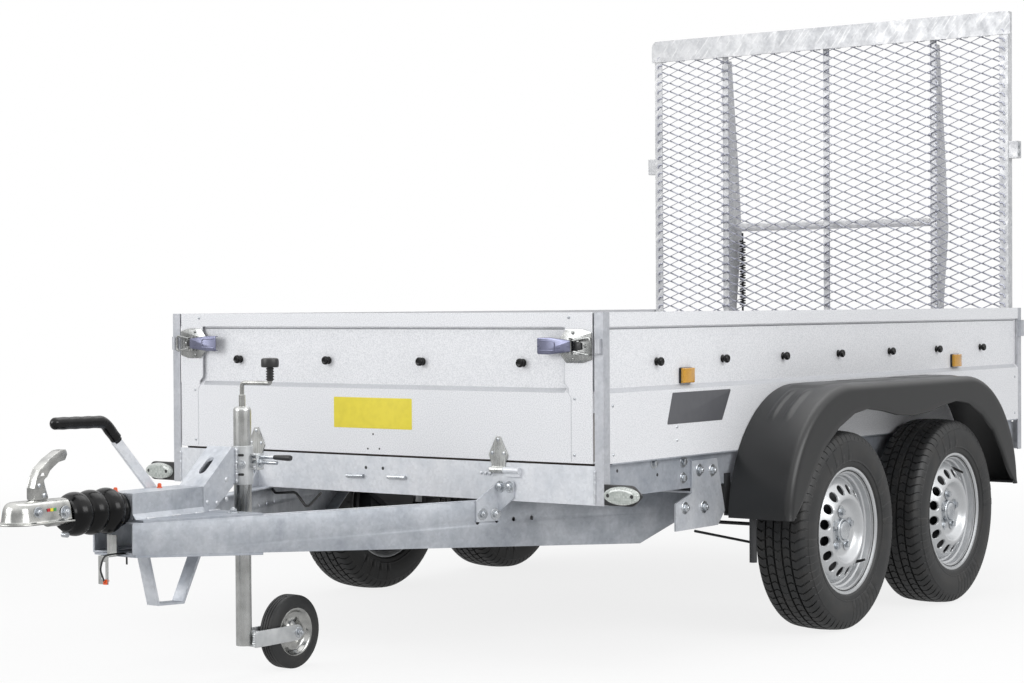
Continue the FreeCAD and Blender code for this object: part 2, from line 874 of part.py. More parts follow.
def coupling_housing():
    """Open channel with a bearing plate at each end, and the sliding tube that they carry."""
    body = new_body("housing_channel")
    half = S.housing_width / 2
    wall = S.housing_wall
    flare = half + S.housing_flare
    foot = S.post_foot + S.plate_thick
    knee = foot + S.housing_knee
    top = S.housing_top
    pad(body, "YZ_Plane",
        [(-flare, foot), (-flare + wall, foot), (-half + wall, knee), (-half + wall, top - wall),
         (half - wall, top - wall), (half - wall, knee), (flare - wall, foot), (flare, foot),
         (half, knee), (half, top), (-half, top), (-half, knee)], S.housing_front - S.housing_rear)
    place(body, FRONT + S.housing_rear)
    plates = []
    for index, x in enumerate((S.housing_rear, S.housing_front - wall)):
        plates.append(block("bearing_plate_%d" % index, (FRONT + x, FRONT + x + wall),
                            (-half, half), (foot, top)))
    bore = rod("housing_bore", S.drawtube_radius + S.seat_gap, S.nose_reach, FRONT, ZERO,
               S.coupler_axis, "X")
    sub_part(cut("coupling_housing", join("housing_form", [body] + plates), bore),
             "coupling_housing")
    end = S.head_tail + S.head_seat
    tube = rod("drawtube", S.drawtube_radius, end - S.housing_rear, FRONT + S.housing_rear, ZERO,
               S.coupler_axis, "X")
    sub_part(tube, "drawtube")


def bellows():
    body = new_body("bellows")
    inner = S.drawtube_radius + S.seat_gap
    length = S.bellows_front - S.bellows_rear
    collar = S.bellows_collar
    pitch = (length - collar) / S.bellows_count
    neck = S.bellows_neck
    peak = S.bellows_radius
    points = [(inner, ZERO), (neck, ZERO), (neck, collar)]
    for index in range(int(S.bellows_count.value)):
        points += [(peak, collar + pitch * (S.bellows_peak_share + index)),
                   (neck, collar + pitch * (index + 1))]
    points += [(inner, length)]
    revolve(body, points)
    place(body, FRONT + S.bellows_rear, ZERO, S.coupler_axis, Rotation(Vector(0, 1, 0), 90))
    sub_part(body, "coupling_bellows")


def head_layer(name, spread, foot, height, taper):
    """One layer of the pressed head: its plan, grown by spread, drawn upwards with a taper."""
    body = new_body(name)
    half = S.head_body_width / 2 + spread
    nose = S.dome_foot_radius + spread
    reach = S.ball_reach - S.head_tail
    feature = pad(body, "XY_Plane",
                  [(ZERO, -half), (reach, -nose), (reach, nose, reach, ZERO, 1), (ZERO, half)], height)
    feature.TaperAngle = -taper.value
    bind(feature, "TaperAngle", -taper)
    return place(body, FRONT + S.head_tail, ZERO, foot)


def coupling_head():
    """Pressed head: a flat rim, steep walls and a shallow crown, hollow over the ball and the tube."""
    shoulder = S.head_top - S.head_crown
    walls = shoulder - S.head_foot
    inward = walls * sine(S.head_wall_taper) / cosine(S.head_wall_taper)
    rim = head_layer("head_rim", S.head_rim_lip, S.head_foot, S.head_rim, S.head_no_taper)
    wall = head_layer("head_walls", ZERO, S.head_foot, walls, S.head_wall_taper)
    crown = head_layer("head_crown", -inward, shoulder, S.head_crown, S.head_crown_taper)
    socket = rod("ball_socket", S.ball_radius, S.socket_depth, FRONT + S.ball_reach, ZERO, S.head_foot)
    bore = rod("head_tube_bore", S.drawtube_radius + S.seat_gap, S.head_seat * 2,
               FRONT + S.head_tail - S.head_seat, ZERO, S.coupler_axis, "X")
    hollow = join("head_hollow", [socket, bore])
    sub_part(cut("coupling_head", join("head_form", [rim, wall, crown]), hollow), "coupling_head")


def coupling_handle():
    """Folded lever: two cheeks and a front web below, and a solid grip that leans back above."""
    body = new_body("coupling_handle")
    length = S.handle_front - S.handle_tip_x
    height = S.handle_top - S.head_top
    pad(body, "XZ_Plane", [(S.handle_tip_x + length * along, S.head_top + height * up)
                           for along, up in HANDLE_SHARES], S.handle_width, centred=True)
    wall = S.handle_wall
    over = wall * 2
    inner_top = S.head_top + height * S.handle_fold_share
    pocket(body, "XZ_Plane",
           [[(S.handle_tip_x, S.head_top - over), (S.handle_front - wall * 2, S.head_top - over),
             (S.handle_front - wall * 2, inner_top), (S.handle_tip_x, inner_top)]],
           S.handle_width - wall * 2, -(S.handle_width / 2 - wall), back=True)
    place(body, FRONT)
    sub_part(body, "coupling_handle")


def swept_rod(name, radius, route, bend):
    """Round bar along straight runs with tangent arcs of one radius, from named places."""
    places = [Vector(*[size.value for size in point]) for point in route]
    edges = []
    start = places[0]
    for before, corner, after in zip(places, places[1:], places[2:]):
        back = (before - corner).normalize()
        ahead = (after - corner).normalize()
        half = back.getAngle(ahead) / 2
        reach = bend.value / math.tan(half)
        middle = corner + (back + ahead).normalize() * (bend.value / math.sin(half) - bend.value)
        first, last = corner + back * reach, corner + ahead * reach
        edges += [Part.LineSegment(start, first).toShape(),
                  Part.Arc(first, middle, last).toShape()]
        start = last
    edges.append(Part.LineSegment(start, places[-1]).toShape())
    path = Part.Wire(edges)
    heading = places[1] - places[0]
    ring = Part.Wire([Part.makeCircle(radius.value, places[0], heading)])
    item = DOC.addObject("Part::Feature", name)
    item.Shape = path.makePipeShell([ring], True, False)
    return item


def handbrake():
    """Flat lever on a pivot beside the housing, with a bent grip that carries on its line."""
    body = new_body("lever_blade")
    rise = S.lever_tip_z - S.lever_foot_z
    ahead = S.lever_tip_x - S.lever_foot_x
    run = root(ahead * ahead + rise * rise)
    half = S.lever_width / 2
    pad(body, "XZ_Plane", [(ZERO, -half), (run, -half), (run, half), (ZERO, half)], S.lever_thick)
    lean = math.degrees(math.atan2(rise.value, ahead.value))
    y = -S.lever_side + S.lever_thick
    place(body, FRONT + S.lever_foot_x, y, S.lever_foot_z, Rotation(Vector(0, 1, 0), -lean))
    pivot = rod("lever_pivot", half, -y - S.housing_width / 2 + S.lever_thick,
                FRONT + S.lever_foot_x, -S.lever_side, S.lever_foot_z, "Y")
    sub_part(join("handbrake_lever", [body, pivot]), "handbrake_lever")
    middle = -S.lever_side + S.lever_thick / 2
    bend_z = S.lever_tip_z + (S.grip_bend_x - S.lever_tip_x) * (rise / ahead)
    grip = swept_rod("handbrake_grip", S.grip_radius,
                     [(FRONT + S.lever_tip_x, middle, S.lever_tip_z),
                      (FRONT + S.grip_bend_x, middle, bend_z),
                      (FRONT + S.grip_tip_x, middle, S.grip_tip_z)], S.grip_bend_radius)
    sub_part(grip, "handbrake_grip")


# Jockey wheel

def jockey_bracket():
    """Folded gusset behind the housing, with a slot in its sloping top and a saddle for the clamp."""
    body = new_body("gusset")
    foot = S.post_foot + S.plate_thick
    wall = S.gusset_wall
    rear = S.gusset_rear
    front = S.gusset_front
    knee = S.gusset_knee_z
    toe = S.gusset_toe
    half = S.gusset_width / 2
    pad(body, "XZ_Plane",
        [(rear, S.sleeve_foot), (toe, foot), (front, foot), (front, knee),
         (rear + wall, S.sleeve_top), (rear, S.sleeve_top)], S.gusset_width, centred=True)
    pocket(body, "XZ_Plane",
           [[(rear + wall, foot - wall), (front + wall, foot - wall), (front + wall, knee - wall * 2),
             (front, knee - wall * 2), (rear + wall, S.sleeve_top - wall * 2)]],
           S.gusset_width - wall * 2, -(half - wall), back=True)
    middle = (rear + front) / 2
    slot = S.gusset_slot_width / 2
    reach = S.gusset_slot_length / 2 - slot
    pocket(body, "XY_Plane",
           [[(middle + reach, -slot), (middle + reach, slot, middle + reach, ZERO, 1),
             (middle - reach, slot), (middle - reach, -slot, middle - reach, ZERO, 1)]],
           S.sleeve_top - knee, S.sleeve_top)
    place(body, FRONT)
    outer = S.jockey_tube + S.sleeve_wall
    saddle = block("gusset_saddle", (FRONT + S.jockey_x + outer + S.seat_gap, FRONT + rear),
                   (S.jockey_y - S.saddle_width, S.jockey_y + S.saddle_width / 4),
                   (S.sleeve_foot + wall, S.sleeve_top - wall))
    sub_part(join("jockey_bracket", [body, saddle]), "jockey_bracket")


def jockey_clamp():
    """Sleeve round the outer tube, with a pinch block, its bolt and the screw with a grip."""
    outer = S.jockey_tube + S.sleeve_wall
    x = FRONT + S.jockey_x
    y = S.jockey_y
    height = S.sleeve_top - S.sleeve_foot
    sleeve = rod("clamp_sleeve", outer, height, x, y, S.sleeve_foot)
    ears = block("clamp_ears", (x - outer, x), (y, y + outer + S.clamp_reach),
                 (S.clamp_foot, S.clamp_foot + S.clamp_block))
    screw_x = x - outer / 2
    screw_z = S.clamp_foot + S.clamp_block - S.clamp_grip_radius
    screw = rod("clamp_screw", S.clamp_screw_radius, S.clamp_handle_reach, screw_x, y, screw_z, "Y")
    grip = rod("clamp_grip", S.clamp_grip_radius, S.clamp_grip_length, screw_x,
               y + S.clamp_handle_reach, screw_z, "Y")
    pinch = rod("clamp_bolt", S.clamp_screw_radius, S.clamp_bolt_reach, screw_x, y,
                S.clamp_foot + S.clamp_block / 2, "Y")
    bore = rod("clamp_bore", S.jockey_tube + S.seat_gap, height * 2, x, y,
               S.sleeve_foot - height / 2)
    sub_part(cut("jockey_clamp", join("clamp_form", [sleeve, ears, screw, grip, pinch]), bore),
             "jockey_clamp")


def jockey_tube():
    x = FRONT + S.jockey_x
    y = S.jockey_y
    height = S.tube_top - S.tube_foot
    outer = rod("tube_outer", S.jockey_tube, height, x, y, S.tube_foot)
    bore = rod("tube_bore", S.jockey_tube - S.tube_wall, height - S.tube_wall * 2, x, y,
               S.tube_foot - S.tube_wall)
    sub_part(cut("jockey_tube", outer, bore), "jockey_tube")
    collar = rod("crank_collar", S.crank_collar_radius, S.crank_collar_height, x, y, S.tube_top)
    bend = swept_rod("crank_bar", S.crank_radius,
                     [(x, y, S.tube_top + S.crank_radius), (x, y, S.crank_height),
                      (x, y + S.crank_reach, S.crank_height)], S.crank_bend_radius)
    stem = rod("crank_stem", S.crank_stem_radius, S.crank_knob_top - S.crank_height + S.crank_radius * 2,
               x, y + S.crank_reach, S.crank_height - S.crank_radius * 2)
    knob = rod("crank_knob", S.crank_knob_radius, S.crank_knob_top - S.crank_knob_foot, x,
               y + S.crank_reach, S.crank_knob_foot)
    sub_part(join("jockey_crank", [collar, bend, stem, knob]), "jockey_crank")


def jockey_fork():
    """Inner tube with a fork welded to its foot and the wheel's axle through the fork."""
    x = FRONT + S.jockey_x
    y = S.jockey_y
    tube = rod("inner_tube", S.jockey_inner, S.inner_top - S.inner_foot, x, y, S.inner_foot)
    bore = rod("inner_bore", S.jockey_inner - S.tube_wall, S.inner_top - S.inner_foot, x, y,
               S.inner_foot + S.fork_height + S.tube_wall)
    tube = cut("inner_tube_hollow", tube, bore)
    inner = S.jockey_width / 2 + S.fork_gap
    outer = inner + S.fork_wall
    wheel_x = x - S.jockey_trail
    low = S.jockey_radius - S.fork_height / 2
    high = S.jockey_radius + S.fork_height / 2
    pieces = [tube]
    for side in (LEFT, RIGHT):
        near, far = (inner, outer) if side > 0 else (-outer, -inner)
        name = "fork_arm_%s" % ("left" if side > 0 else "right")
        pieces.append(block(name, (wheel_x - S.fork_height / 3, x), (y + near, y + far), (low, high)))
    pieces.append(block("fork_bridge", (x - S.jockey_inner - S.fork_wall, x - S.jockey_inner / 2),
                        (y - inner, y + inner), (low, high)))
    pieces.append(block("fork_shoulder", (x - S.jockey_inner / 2, x),
                        (y - outer, y + outer), (low, high)))
    fork = join("fork_form", pieces)
    axle_bore = rod("fork_axle_bore", S.fork_axle_radius, outer * 4, wheel_x, y - outer * 2,
                    S.jockey_radius, "Y")
    axle = rod("fork_axle", S.fork_axle_radius, outer * 2, wheel_x, y - outer, S.jockey_radius,
               "Y")
    sub_part(join("jockey_inner_tube", [cut("fork_bored", fork, axle_bore), axle]),
             "jockey_inner_tube")


def jockey_wheel():
    x = FRONT + S.jockey_x - S.jockey_trail
    half = S.jockey_width / 2
    rim = S.jockey_rim_radius
    top = S.jockey_radius
    tread = half * S.jockey_tread_share
    tyre = new_body("jockey_tyre")
    revolve(tyre, [(rim, -half), (top, -tread), (top, tread), (rim, half)])
    place(tyre, x, S.jockey_y, S.jockey_radius, AXIS_TURN["Y"])
    sub_part(tyre, "jockey_tyre")
    hub = S.fork_axle_radius + S.pin_gap
    boss = hub * 3
    seat = rim - S.pin_gap
    dish = half * S.jockey_dish_share
    body = new_body("jockey_rim")
    revolve(body, [(hub, -half), (boss, -half), (boss, -dish), (seat, -half), (seat, half),
                   (boss, dish), (boss, half), (hub, half)])
    place(body, x, S.jockey_y, S.jockey_radius, AXIS_TURN["Y"])
    sub_part(body, "jockey_rim")


# Hoop, holder and breakaway cable

def under_hoop():
    """Strap bent into a hoop under the lower coupling plate."""
    body = new_body("under_hoop")
    thick = S.hoop_thick
    nose = S.bar_nose_x
    deep = S.hoop_depth
    front, knee = S.hoop_front - nose, S.hoop_front_knee - nose
    low_front, low_rear = S.hoop_low_front - nose, S.hoop_low_rear - nose
    rear_knee, rear = S.hoop_rear_knee - nose, S.hoop_rear - nose
    pad(body, "XZ_Plane",
        [(front, ZERO), (front, -thick), (knee + thick, -thick), (low_front + thick, -deep),
         (low_rear - thick, -deep), (rear_knee - thick, -thick), (rear, -thick), (rear, ZERO),
         (rear_knee, ZERO), (low_rear, thick - deep), (low_front, thick - deep), (knee, ZERO)],
        S.hoop_width, centred=True)
    tilt_under_bars(body, FRONT + nose, -S.plate_thick)
    sub_part(body, "under_hoop")


def plug_holder():
    """Bent tab under the drawbar's nose, with the breakaway cable clipped to it."""
    half = S.holder_width / 2
    wall = S.bracket_wall / 2
    back = FRONT + S.plate_front + S.seat_gap
    front = FRONT + S.bar_nose_x + S.holder_width
    top = S.bar_nose_foot - S.holder_drop
    tongue = block("holder_tongue", (back, front), (-half, half), (top, top + wall))
    hanger = block("holder_hanger", (front - wall, front), (-half, half),
                   (S.holder_foot, top + wall))
    upright_x = FRONT + S.bar_nose_x + S.seat_gap
    upright = block("holder_upright", (upright_x, upright_x + wall), (-half, half),
                    (top, top + S.holder_rise))
    slot = block("holder_slot", (front - half, front + half), (-half / 2, half / 2),
                 (S.holder_foot + wall * 4, top - wall * 4))
    sub_part(cut("plug_holder", join("holder_form", [tongue, hanger, upright]), slot), "plug_holder")
    touch = S.cable_radius + S.seat_gap
    start_z = S.bar_nose_foot + touch
    cable = swept_rod("breakaway_cable", S.cable_radius,
                      [(FRONT + S.plate_front - S.holder_width, half + touch, start_z),
                       (front + S.holder_width, half + touch, start_z),
                       (front + touch, half / 2, S.holder_foot + wall)], S.holder_width / 2)
    sub_part(cable, "breakaway_cable")


# Axles and wheels

def axles():
    """Torsion axles: cross tube with end brackets, trailing arms, stub shafts and brake drums."""
    for index, name in enumerate(("axle_front", "axle_rear")):
        x = FRONT + S.axle_x - S.axle_spacing * index
        tube_x = x + S.torsion_lead
        half = S.torsion_side / 2
        face = HALF - S.beam_inset
        arm_out = face - S.bar_flange / 2 + S.arm_thick
        tube = block(name + "_tube", (tube_x - half, tube_x + half), (-face, face),
                     (S.torsion_height - half, S.torsion_height + half))
        pieces = [tube]
        for side in (LEFT, RIGHT):
            tag = "%s_%s" % (name, "left" if side > 0 else "right")

            def across(low, high):
                return (low, high) if side > 0 else (-high, -low)
            pieces.append(block(tag + "_mount", (tube_x - S.torsion_mount_width / 2,
                                                  tube_x + S.torsion_mount_width / 2),
                                across(face - S.beam_flange, face),
                                (S.torsion_height, S.beam_foot)))
            arm = new_body(tag + "_arm")
            lift = S.torsion_height - S.tyre_radius
            pad(arm, "XZ_Plane",
                [(-S.arm_width / 2, -S.arm_width / 2), (S.arm_width / 2, -S.arm_width / 2),
                 (S.torsion_lead + S.arm_width / 2, lift - S.arm_width / 2),
                 (S.torsion_lead + S.arm_width / 2, lift + S.arm_width / 2),
                 (S.torsion_lead - S.arm_width / 2, lift + S.arm_width / 2),
                 (-S.arm_width / 2, S.arm_width / 2)], S.arm_thick)
            low, high = across(face - S.bar_flange / 2, arm_out)
            place(arm, x, high, S.tyre_radius)
            pieces.append(arm)
            hub_face = TRACK + S.disc_offset
            low, high = across(face, hub_face + S.hub_stand)
            pieces.append(rod(tag + "_stub", S.stub_radius, high - low, x, low, S.tyre_radius,
                              "Y"))
            low, high = across(arm_out + S.drum_gap, hub_face - S.disc_thick - S.drum_gap)
            pieces.append(rod(tag + "_drum", S.drum_radius, high - low, x, low, S.tyre_radius,
                              "Y"))
        sub_part(join(name, pieces), name)


def road_wheel(name, x, side):
    """Tyre and pressed steel rim; radii run outward, widths towards the wheel's outer face."""
    half = S.tyre_width / 2
    rim = S.rim_radius
    top = S.tyre_radius
    bead = S.rim_half_width - S.rim_wall * 2
    bore = S.flange_radius + S.seat_gap
    shoulder = top - S.tyre_shoulder
    turn = AXIS_TURN["Y"] if side > 0 else Rotation(Vector(1, 0, 0), 90)
    y = TRACK * side
    tyre = new_body("tyre_" + name)
    revolve(tyre, [(bore, -half), (shoulder, -half), (top, -S.tread_half), (top, S.tread_half),
                   (shoulder, half), (bore, half)])
    place(tyre, x, y, S.tyre_radius, turn)
    sub_part(tyre, "tyre_" + name)

    seat = rim - S.seat_gap / 10
    inner = seat - S.rim_wall
    wide = S.rim_half_width
    flange = S.flange_radius
    face = S.disc_offset
    dish = face + S.disc_rise
    body = new_body("rim_" + name)
    revolve(body, [(S.hub_bore, face), (S.hub_radius, face), (inner, dish), (inner, bead),
                   (flange, wide), (seat, bead), (seat, -bead), (flange, -wide), (inner, -bead),
                   (inner, dish - S.disc_thick), (S.hub_bore, face - S.disc_thick)])
    place(body, x, y, S.tyre_radius, turn)
    sub_part(body, "rim_" + name)


def road_wheels():
    for index, where in enumerate(("front", "rear")):
        x = FRONT + S.axle_x - S.axle_spacing * index
        for side, word in ((LEFT, "left"), (RIGHT, "right")):
            road_wheel("%s_%s" % (where, word), x, side)


# Mudguards

def mudguards():
    """Tandem mudguards: an arched shell with an outer skirt whose lip follows both wheels."""
    body = new_body("mudguard_left")
    half = S.guard_half_length
    arch = S.guard_arch_radius
    width = S.guard_outer - S.guard_rear_gap
    wall = S.guard_wall
    foot = S.guard_foot
    rise = S.guard_top - arch
    centre = half - arch

    def shell(inset):
        radius = arch - inset
        reach = centre + root(radius * radius - (foot - rise) * (foot - rise))
        top = S.guard_top - inset
        return [(-reach, foot, -centre, rise, 1), (reach, foot), (centre, top, centre, rise, 1),
                (-centre, top)]
    pad(body, "XZ_Plane", shell(ZERO), width)
    pocket(body, "XZ_Plane", [shell(wall)], width, wall, back=True)
    lip_height = S.guard_top - S.guard_skirt - foot
    front_lip = [(half * along, foot + lip_height * up) for along, up in LIP_SHARES]
    rear_lip = [(-along, up) for along, up in front_lip]
    corner = front_lip[0][0]
    below = foot - wall * 2
    pocket(body, "XZ_Plane", [[(-corner, below), (corner, below)] + front_lip + rear_lip[::-1]],
           wall * 2, wall, back=False)
    x = FRONT + S.axle_x - S.axle_spacing / 2 - S.guard_shift
    place(body, x, HALF + S.guard_outer, ZERO)
    sub_part(body, "mudguard_left")
    sub_part(mirror("mudguard_right", body), "mudguard_right")
    stays = []
    face = HALF - S.beam_inset
    arm_z = S.guard_foot + S.stay_thick
    holder_y = HALF + S.guard_outer / 3
    for name, side in (("front", 1), ("rear", -1)):
        middle = x + (half - S.stay_set) * side
        across = (middle - S.stay_width / 2, middle + S.stay_width / 2)
        drop = block("guard_stay_drop_" + name, across, (face, face + S.stay_thick),
                     (arm_z, S.beam_foot + S.stay_width))
        arm = block("guard_stay_arm_" + name, across,
                    (face, HALF + S.guard_outer - S.guard_wall), (arm_z, arm_z + S.stay_thick))
        pieces = [drop, arm]
        if side > 0:
            pieces.append(rod("guard_rod", S.stay_tube_radius, S.stay_tube_length + S.stay_thick,
                              middle, holder_y, arm_z - S.stay_tube_length))
        stays.append(join("guard_stay_" + name, pieces))
    sub_part(both_sides("mudguard_stays", group("guard_stays_left", stays)), "mudguard_stays")


# Lamps and reflectors

def lamps():
    half = S.lamp_height / 2
    body = new_body("front_lamp_left")
    straight = S.lamp_length / 2 - half
    pad(body, "YZ_Plane",
        [(-straight, -half, -straight, ZERO, 1), (straight, -half),
         (straight, half, straight, ZERO, 1), (-straight, half)], S.lamp_depth)
    place(body, FRONT - S.lamp_base, HALF + S.lamp_length / 2 + S.seat_gap, S.lamp_axis)
    sub_part(both_sides("front_lamps", body), "front_lamps")
    lamp_top = S.post_foot - S.seat_gap
    rear = block("rear_lamp_left", (BACK, BACK + S.tail_lamp_depth),
                 (S.tail_lamp_side, S.tail_lamp_side + S.tail_lamp_length),
                 (lamp_top - S.tail_lamp_height, lamp_top))
    sub_part(both_sides("rear_lamps", rear), "rear_lamps")
    marks = []
    rear_start = S.box_length - S.reflector_rear_margin - S.reflector_length
    for index, start in enumerate((S.reflector_front, rear_start)):
        marks.append(block("reflector_%d" % index,
                           (FRONT - start - S.reflector_length, FRONT - start),
                           (HALF - S.panel_recess, HALF - S.panel_recess + S.reflector_thick * 2),
                           (S.reflector_axis - S.reflector_height / 2,
                            S.reflector_axis + S.reflector_height / 2)))
    sub_part(both_sides("side_reflectors", group("reflectors_left", marks)), "side_reflectors")


def knob(name, x, y, z, turn):
    """Round lashing knob that stands on a panel."""
    item = DOC.addObject("Part::Prism", name)
    item.Polygon = KNOB_SIDES
    bind(item, "Circumradius", S.knob_radius)
    bind(item, "Height", S.knob_length)
    return place(item, x, y, z, turn)


def side_knobs():
    row = []
    count = int(S.side_knob_count.value)
    pitch = (S.box_length - S.side_knob_first - S.side_knob_last) / (count - 1)
    for index in range(count):
        x = FRONT - S.side_knob_first - pitch * index
        row.append(knob("side_knob_%d" % (index + 1), x, HALF - S.panel_recess, S.knob_height,
                        AXIS_TURN["Y"]))
    sub_part(both_sides("side_knobs", group("side_knobs_left", row)), "side_knobs")


# Front panel, hinged at its foot

def hinge_leaf(tag, side):
    """Leaf with a narrow foot, wide shoulders and a pointed top, and the barrel at its foot."""
    leaf = new_body("hinge_leaf_" + tag)
    half = S.leaf_width / 2
    foot = S.front_hinge_z
    neck = S.leaf_width * leaf_neck_share()
    neck_top = foot + S.hinge_barrel_radius + S.moving_gap
    shoulder = foot + S.leaf_height * S.leaf_shoulder_share
    tip = half * S.leaf_tip_share
    pad(leaf, "YZ_Plane",
        [(-neck, foot), (neck, foot), (neck, neck_top), (half, shoulder),
         (tip, foot + S.leaf_height), (-tip, foot + S.leaf_height), (-half, shoulder),
         (-neck, neck_top)], S.leaf_thick)
    place(leaf, FRONT + S.seat_gap, S.hinge_y * side, ZERO)
    barrel = rod("hinge_barrel_" + tag, S.hinge_barrel_radius, neck * 2,
                 FRONT + S.front_hinge_x + S.seat_gap, S.hinge_y * side - neck, foot, "Y")
    return join("front_hinge_" + tag, [leaf, barrel])


def toggle_latch(edge):
    """Left toggle latch: a winged base plate and a tapered lever that stands off it."""
    axis = S.latch_axis
    wing = S.latch_wing_width
    base = new_body("latch_base")
    half_wing = S.latch_wing_height / 2
    half = S.latch_height / 2
    near = edge - wing
    pad(base, "YZ_Plane",
        [(near - half, axis - half / 2), (near, axis - half_wing), (near + half, axis - half_wing),
         (edge, axis - half), (edge, axis + half), (near + half, axis + half_wing),
         (near, axis + half_wing), (near - half, axis + half / 2)], S.sheet_wall)
    place(base, FRONT + S.seat_gap)
    lever = new_body("latch_lever")
    grip_half = S.latch_grip_height / 2
    waist_half = S.latch_waist_height / 2
    far = edge - S.latch_length
    pad(lever, "YZ_Plane",
        [(far, axis - grip_half), (edge - wing, axis - waist_half), (edge, axis - waist_half),
         (edge, axis + waist_half), (edge - wing, axis + waist_half), (far, axis + grip_half)],
        S.latch_depth - S.seat_gap)
    place(lever, FRONT + S.seat_gap)
    return join("latch_left", [base, lever])


def front_panel():
    edge = HALF - S.post_width - S.moving_gap
    body = new_body("front_panel_sheet")
    pad(body, "XZ_Plane", sheet_profile(ZERO), edge * 2)
    place(body, FRONT, edge, ZERO)
    plate = new_body("front_end_plate")
    wide = S.end_plate_width
    cut_size = S.fold_top - S.fold_foot
    wall = S.sheet_wall
    pad(plate, "YZ_Plane",
        [(edge - wide, S.panel_foot), (edge, S.panel_foot), (edge, S.box_top),
         (edge - wide, S.box_top), (edge - wide, S.fold_top + cut_size),
         (edge - wide + cut_size, S.fold_top), (edge - wide + cut_size, S.fold_foot),
         (edge - wide, S.fold_foot - cut_size)], wall)
    place(plate, FRONT - wall)
    other = mirror("front_end_plate_right", plate)
    sub_part(join("front_panel", [body, plate, other]), "front_panel")
    leaves = [hinge_leaf("left", LEFT), hinge_leaf("right", RIGHT)]
    sub_part(group("front_hinges", leaves), "front_hinges")
    sub_part(both_sides("front_latches", toggle_latch(edge)), "front_latches")
    row = []
    count = int(S.front_knob_count.value)
    pitch = (S.box_width - S.front_knob_margin * 2) / (count - 1)
    for index in range(count):
        y = S.front_knob_margin - HALF + pitch * index
        row.append(knob("front_knob_%d" % (index + 1), FRONT - S.panel_recess, y, S.knob_height,
                        AXIS_TURN["X"]))
    sub_part(group("front_knobs", row), "front_knobs")


# Loading ramp, hinged at its foot behind the rear beam

def ramp_top_plate(x, over, foot):
    """Plate across the ramp's head, with rounded upper corners."""
    body = new_body("ramp_top_plate")
    bend = S.ramp_plate_round
    shoulder = S.ramp_top - bend
    inner = over - bend
    pad(body, "YZ_Plane",
        [(-over, foot), (over, foot), (over, shoulder), (inner, S.ramp_top, inner, shoulder, 1),
         (-inner, S.ramp_top), (-over, shoulder, -inner, shoulder, 1)], S.ramp_plate_wall)
    return place(body, x)


def ramp_frame():
    low, high = BACK - S.ramp_setback, BACK - S.ramp_setback + S.ramp_depth
    wide = S.ramp_angle_width
    wall = S.ramp_angle_wall
    edge = RAMP_HALF
    pieces = []
    for side in (LEFT, RIGHT):
        tag = "left" if side > 0 else "right"
        flat = (edge - wide, edge) if side > 0 else (-edge, -edge + wide)
        upright = (edge - wall, edge) if side > 0 else (-edge, -edge + wall)
        pieces.append(block("ramp_angle_face_" + tag, (high - wall, high), flat,
                            (S.ramp_foot, S.ramp_top)))
        pieces.append(block("ramp_angle_side_" + tag, (low, high), upright,
                            (S.ramp_foot, S.ramp_top)))
        barrel_y = (S.ramp_hinge_y - S.ramp_barrel_length * 3 / 2 - S.ramp_barrel_gap) * side
        start = barrel_y - (ZERO if side > 0 else S.ramp_barrel_length)
        axis_x = BACK - S.ramp_hinge_set
        pieces.append(rod("ramp_barrel_" + tag, S.ramp_barrel_radius, S.ramp_barrel_length,
                          axis_x, start, S.ramp_hinge_z, "Y"))
        pieces.append(block("ramp_barrel_lug_" + tag,
                            (axis_x - S.ramp_barrel_radius, low + wall),
                            (start, start + S.ramp_barrel_length),
                            (S.ramp_hinge_z, S.ramp_foot + wide / 2)))
    pieces.append(block("ramp_foot_bar", (low, low + wall), (-edge, edge),
                        (S.ramp_foot, S.ramp_foot + wide)))
    pieces.append(block("ramp_foot_lip", (low, high), (-edge, edge),
                        (S.ramp_foot, S.ramp_foot + wall)))
    top_foot = S.ramp_top - S.ramp_plate_height
    over = edge + S.ramp_plate_over
    pieces.append(ramp_top_plate(high, over, top_foot))
    flat_half = over - S.ramp_plate_round
    pieces.append(block("ramp_top_lip", (low, high), (-flat_half, flat_half),
                        (S.ramp_top - S.ramp_plate_wall, S.ramp_top)))
    for index, centre in enumerate((-S.ramp_beam_y, ZERO, S.ramp_beam_y)):
        pieces.append(block("ramp_bar_%d" % index, (low, low + wall),
                            (centre - S.ramp_bar_width / 2, centre + S.ramp_bar_width / 2),
                            (S.ramp_foot, S.ramp_top)))
    bore = rod("ramp_barrel_bore", S.ramp_pin_radius + S.pin_gap, edge * 2,
               BACK - S.ramp_hinge_set, -edge, S.ramp_hinge_z, "Y")
    sub_part(cut("ramp_frame", join("ramp_frame_form", pieces), bore), "ramp_frame")


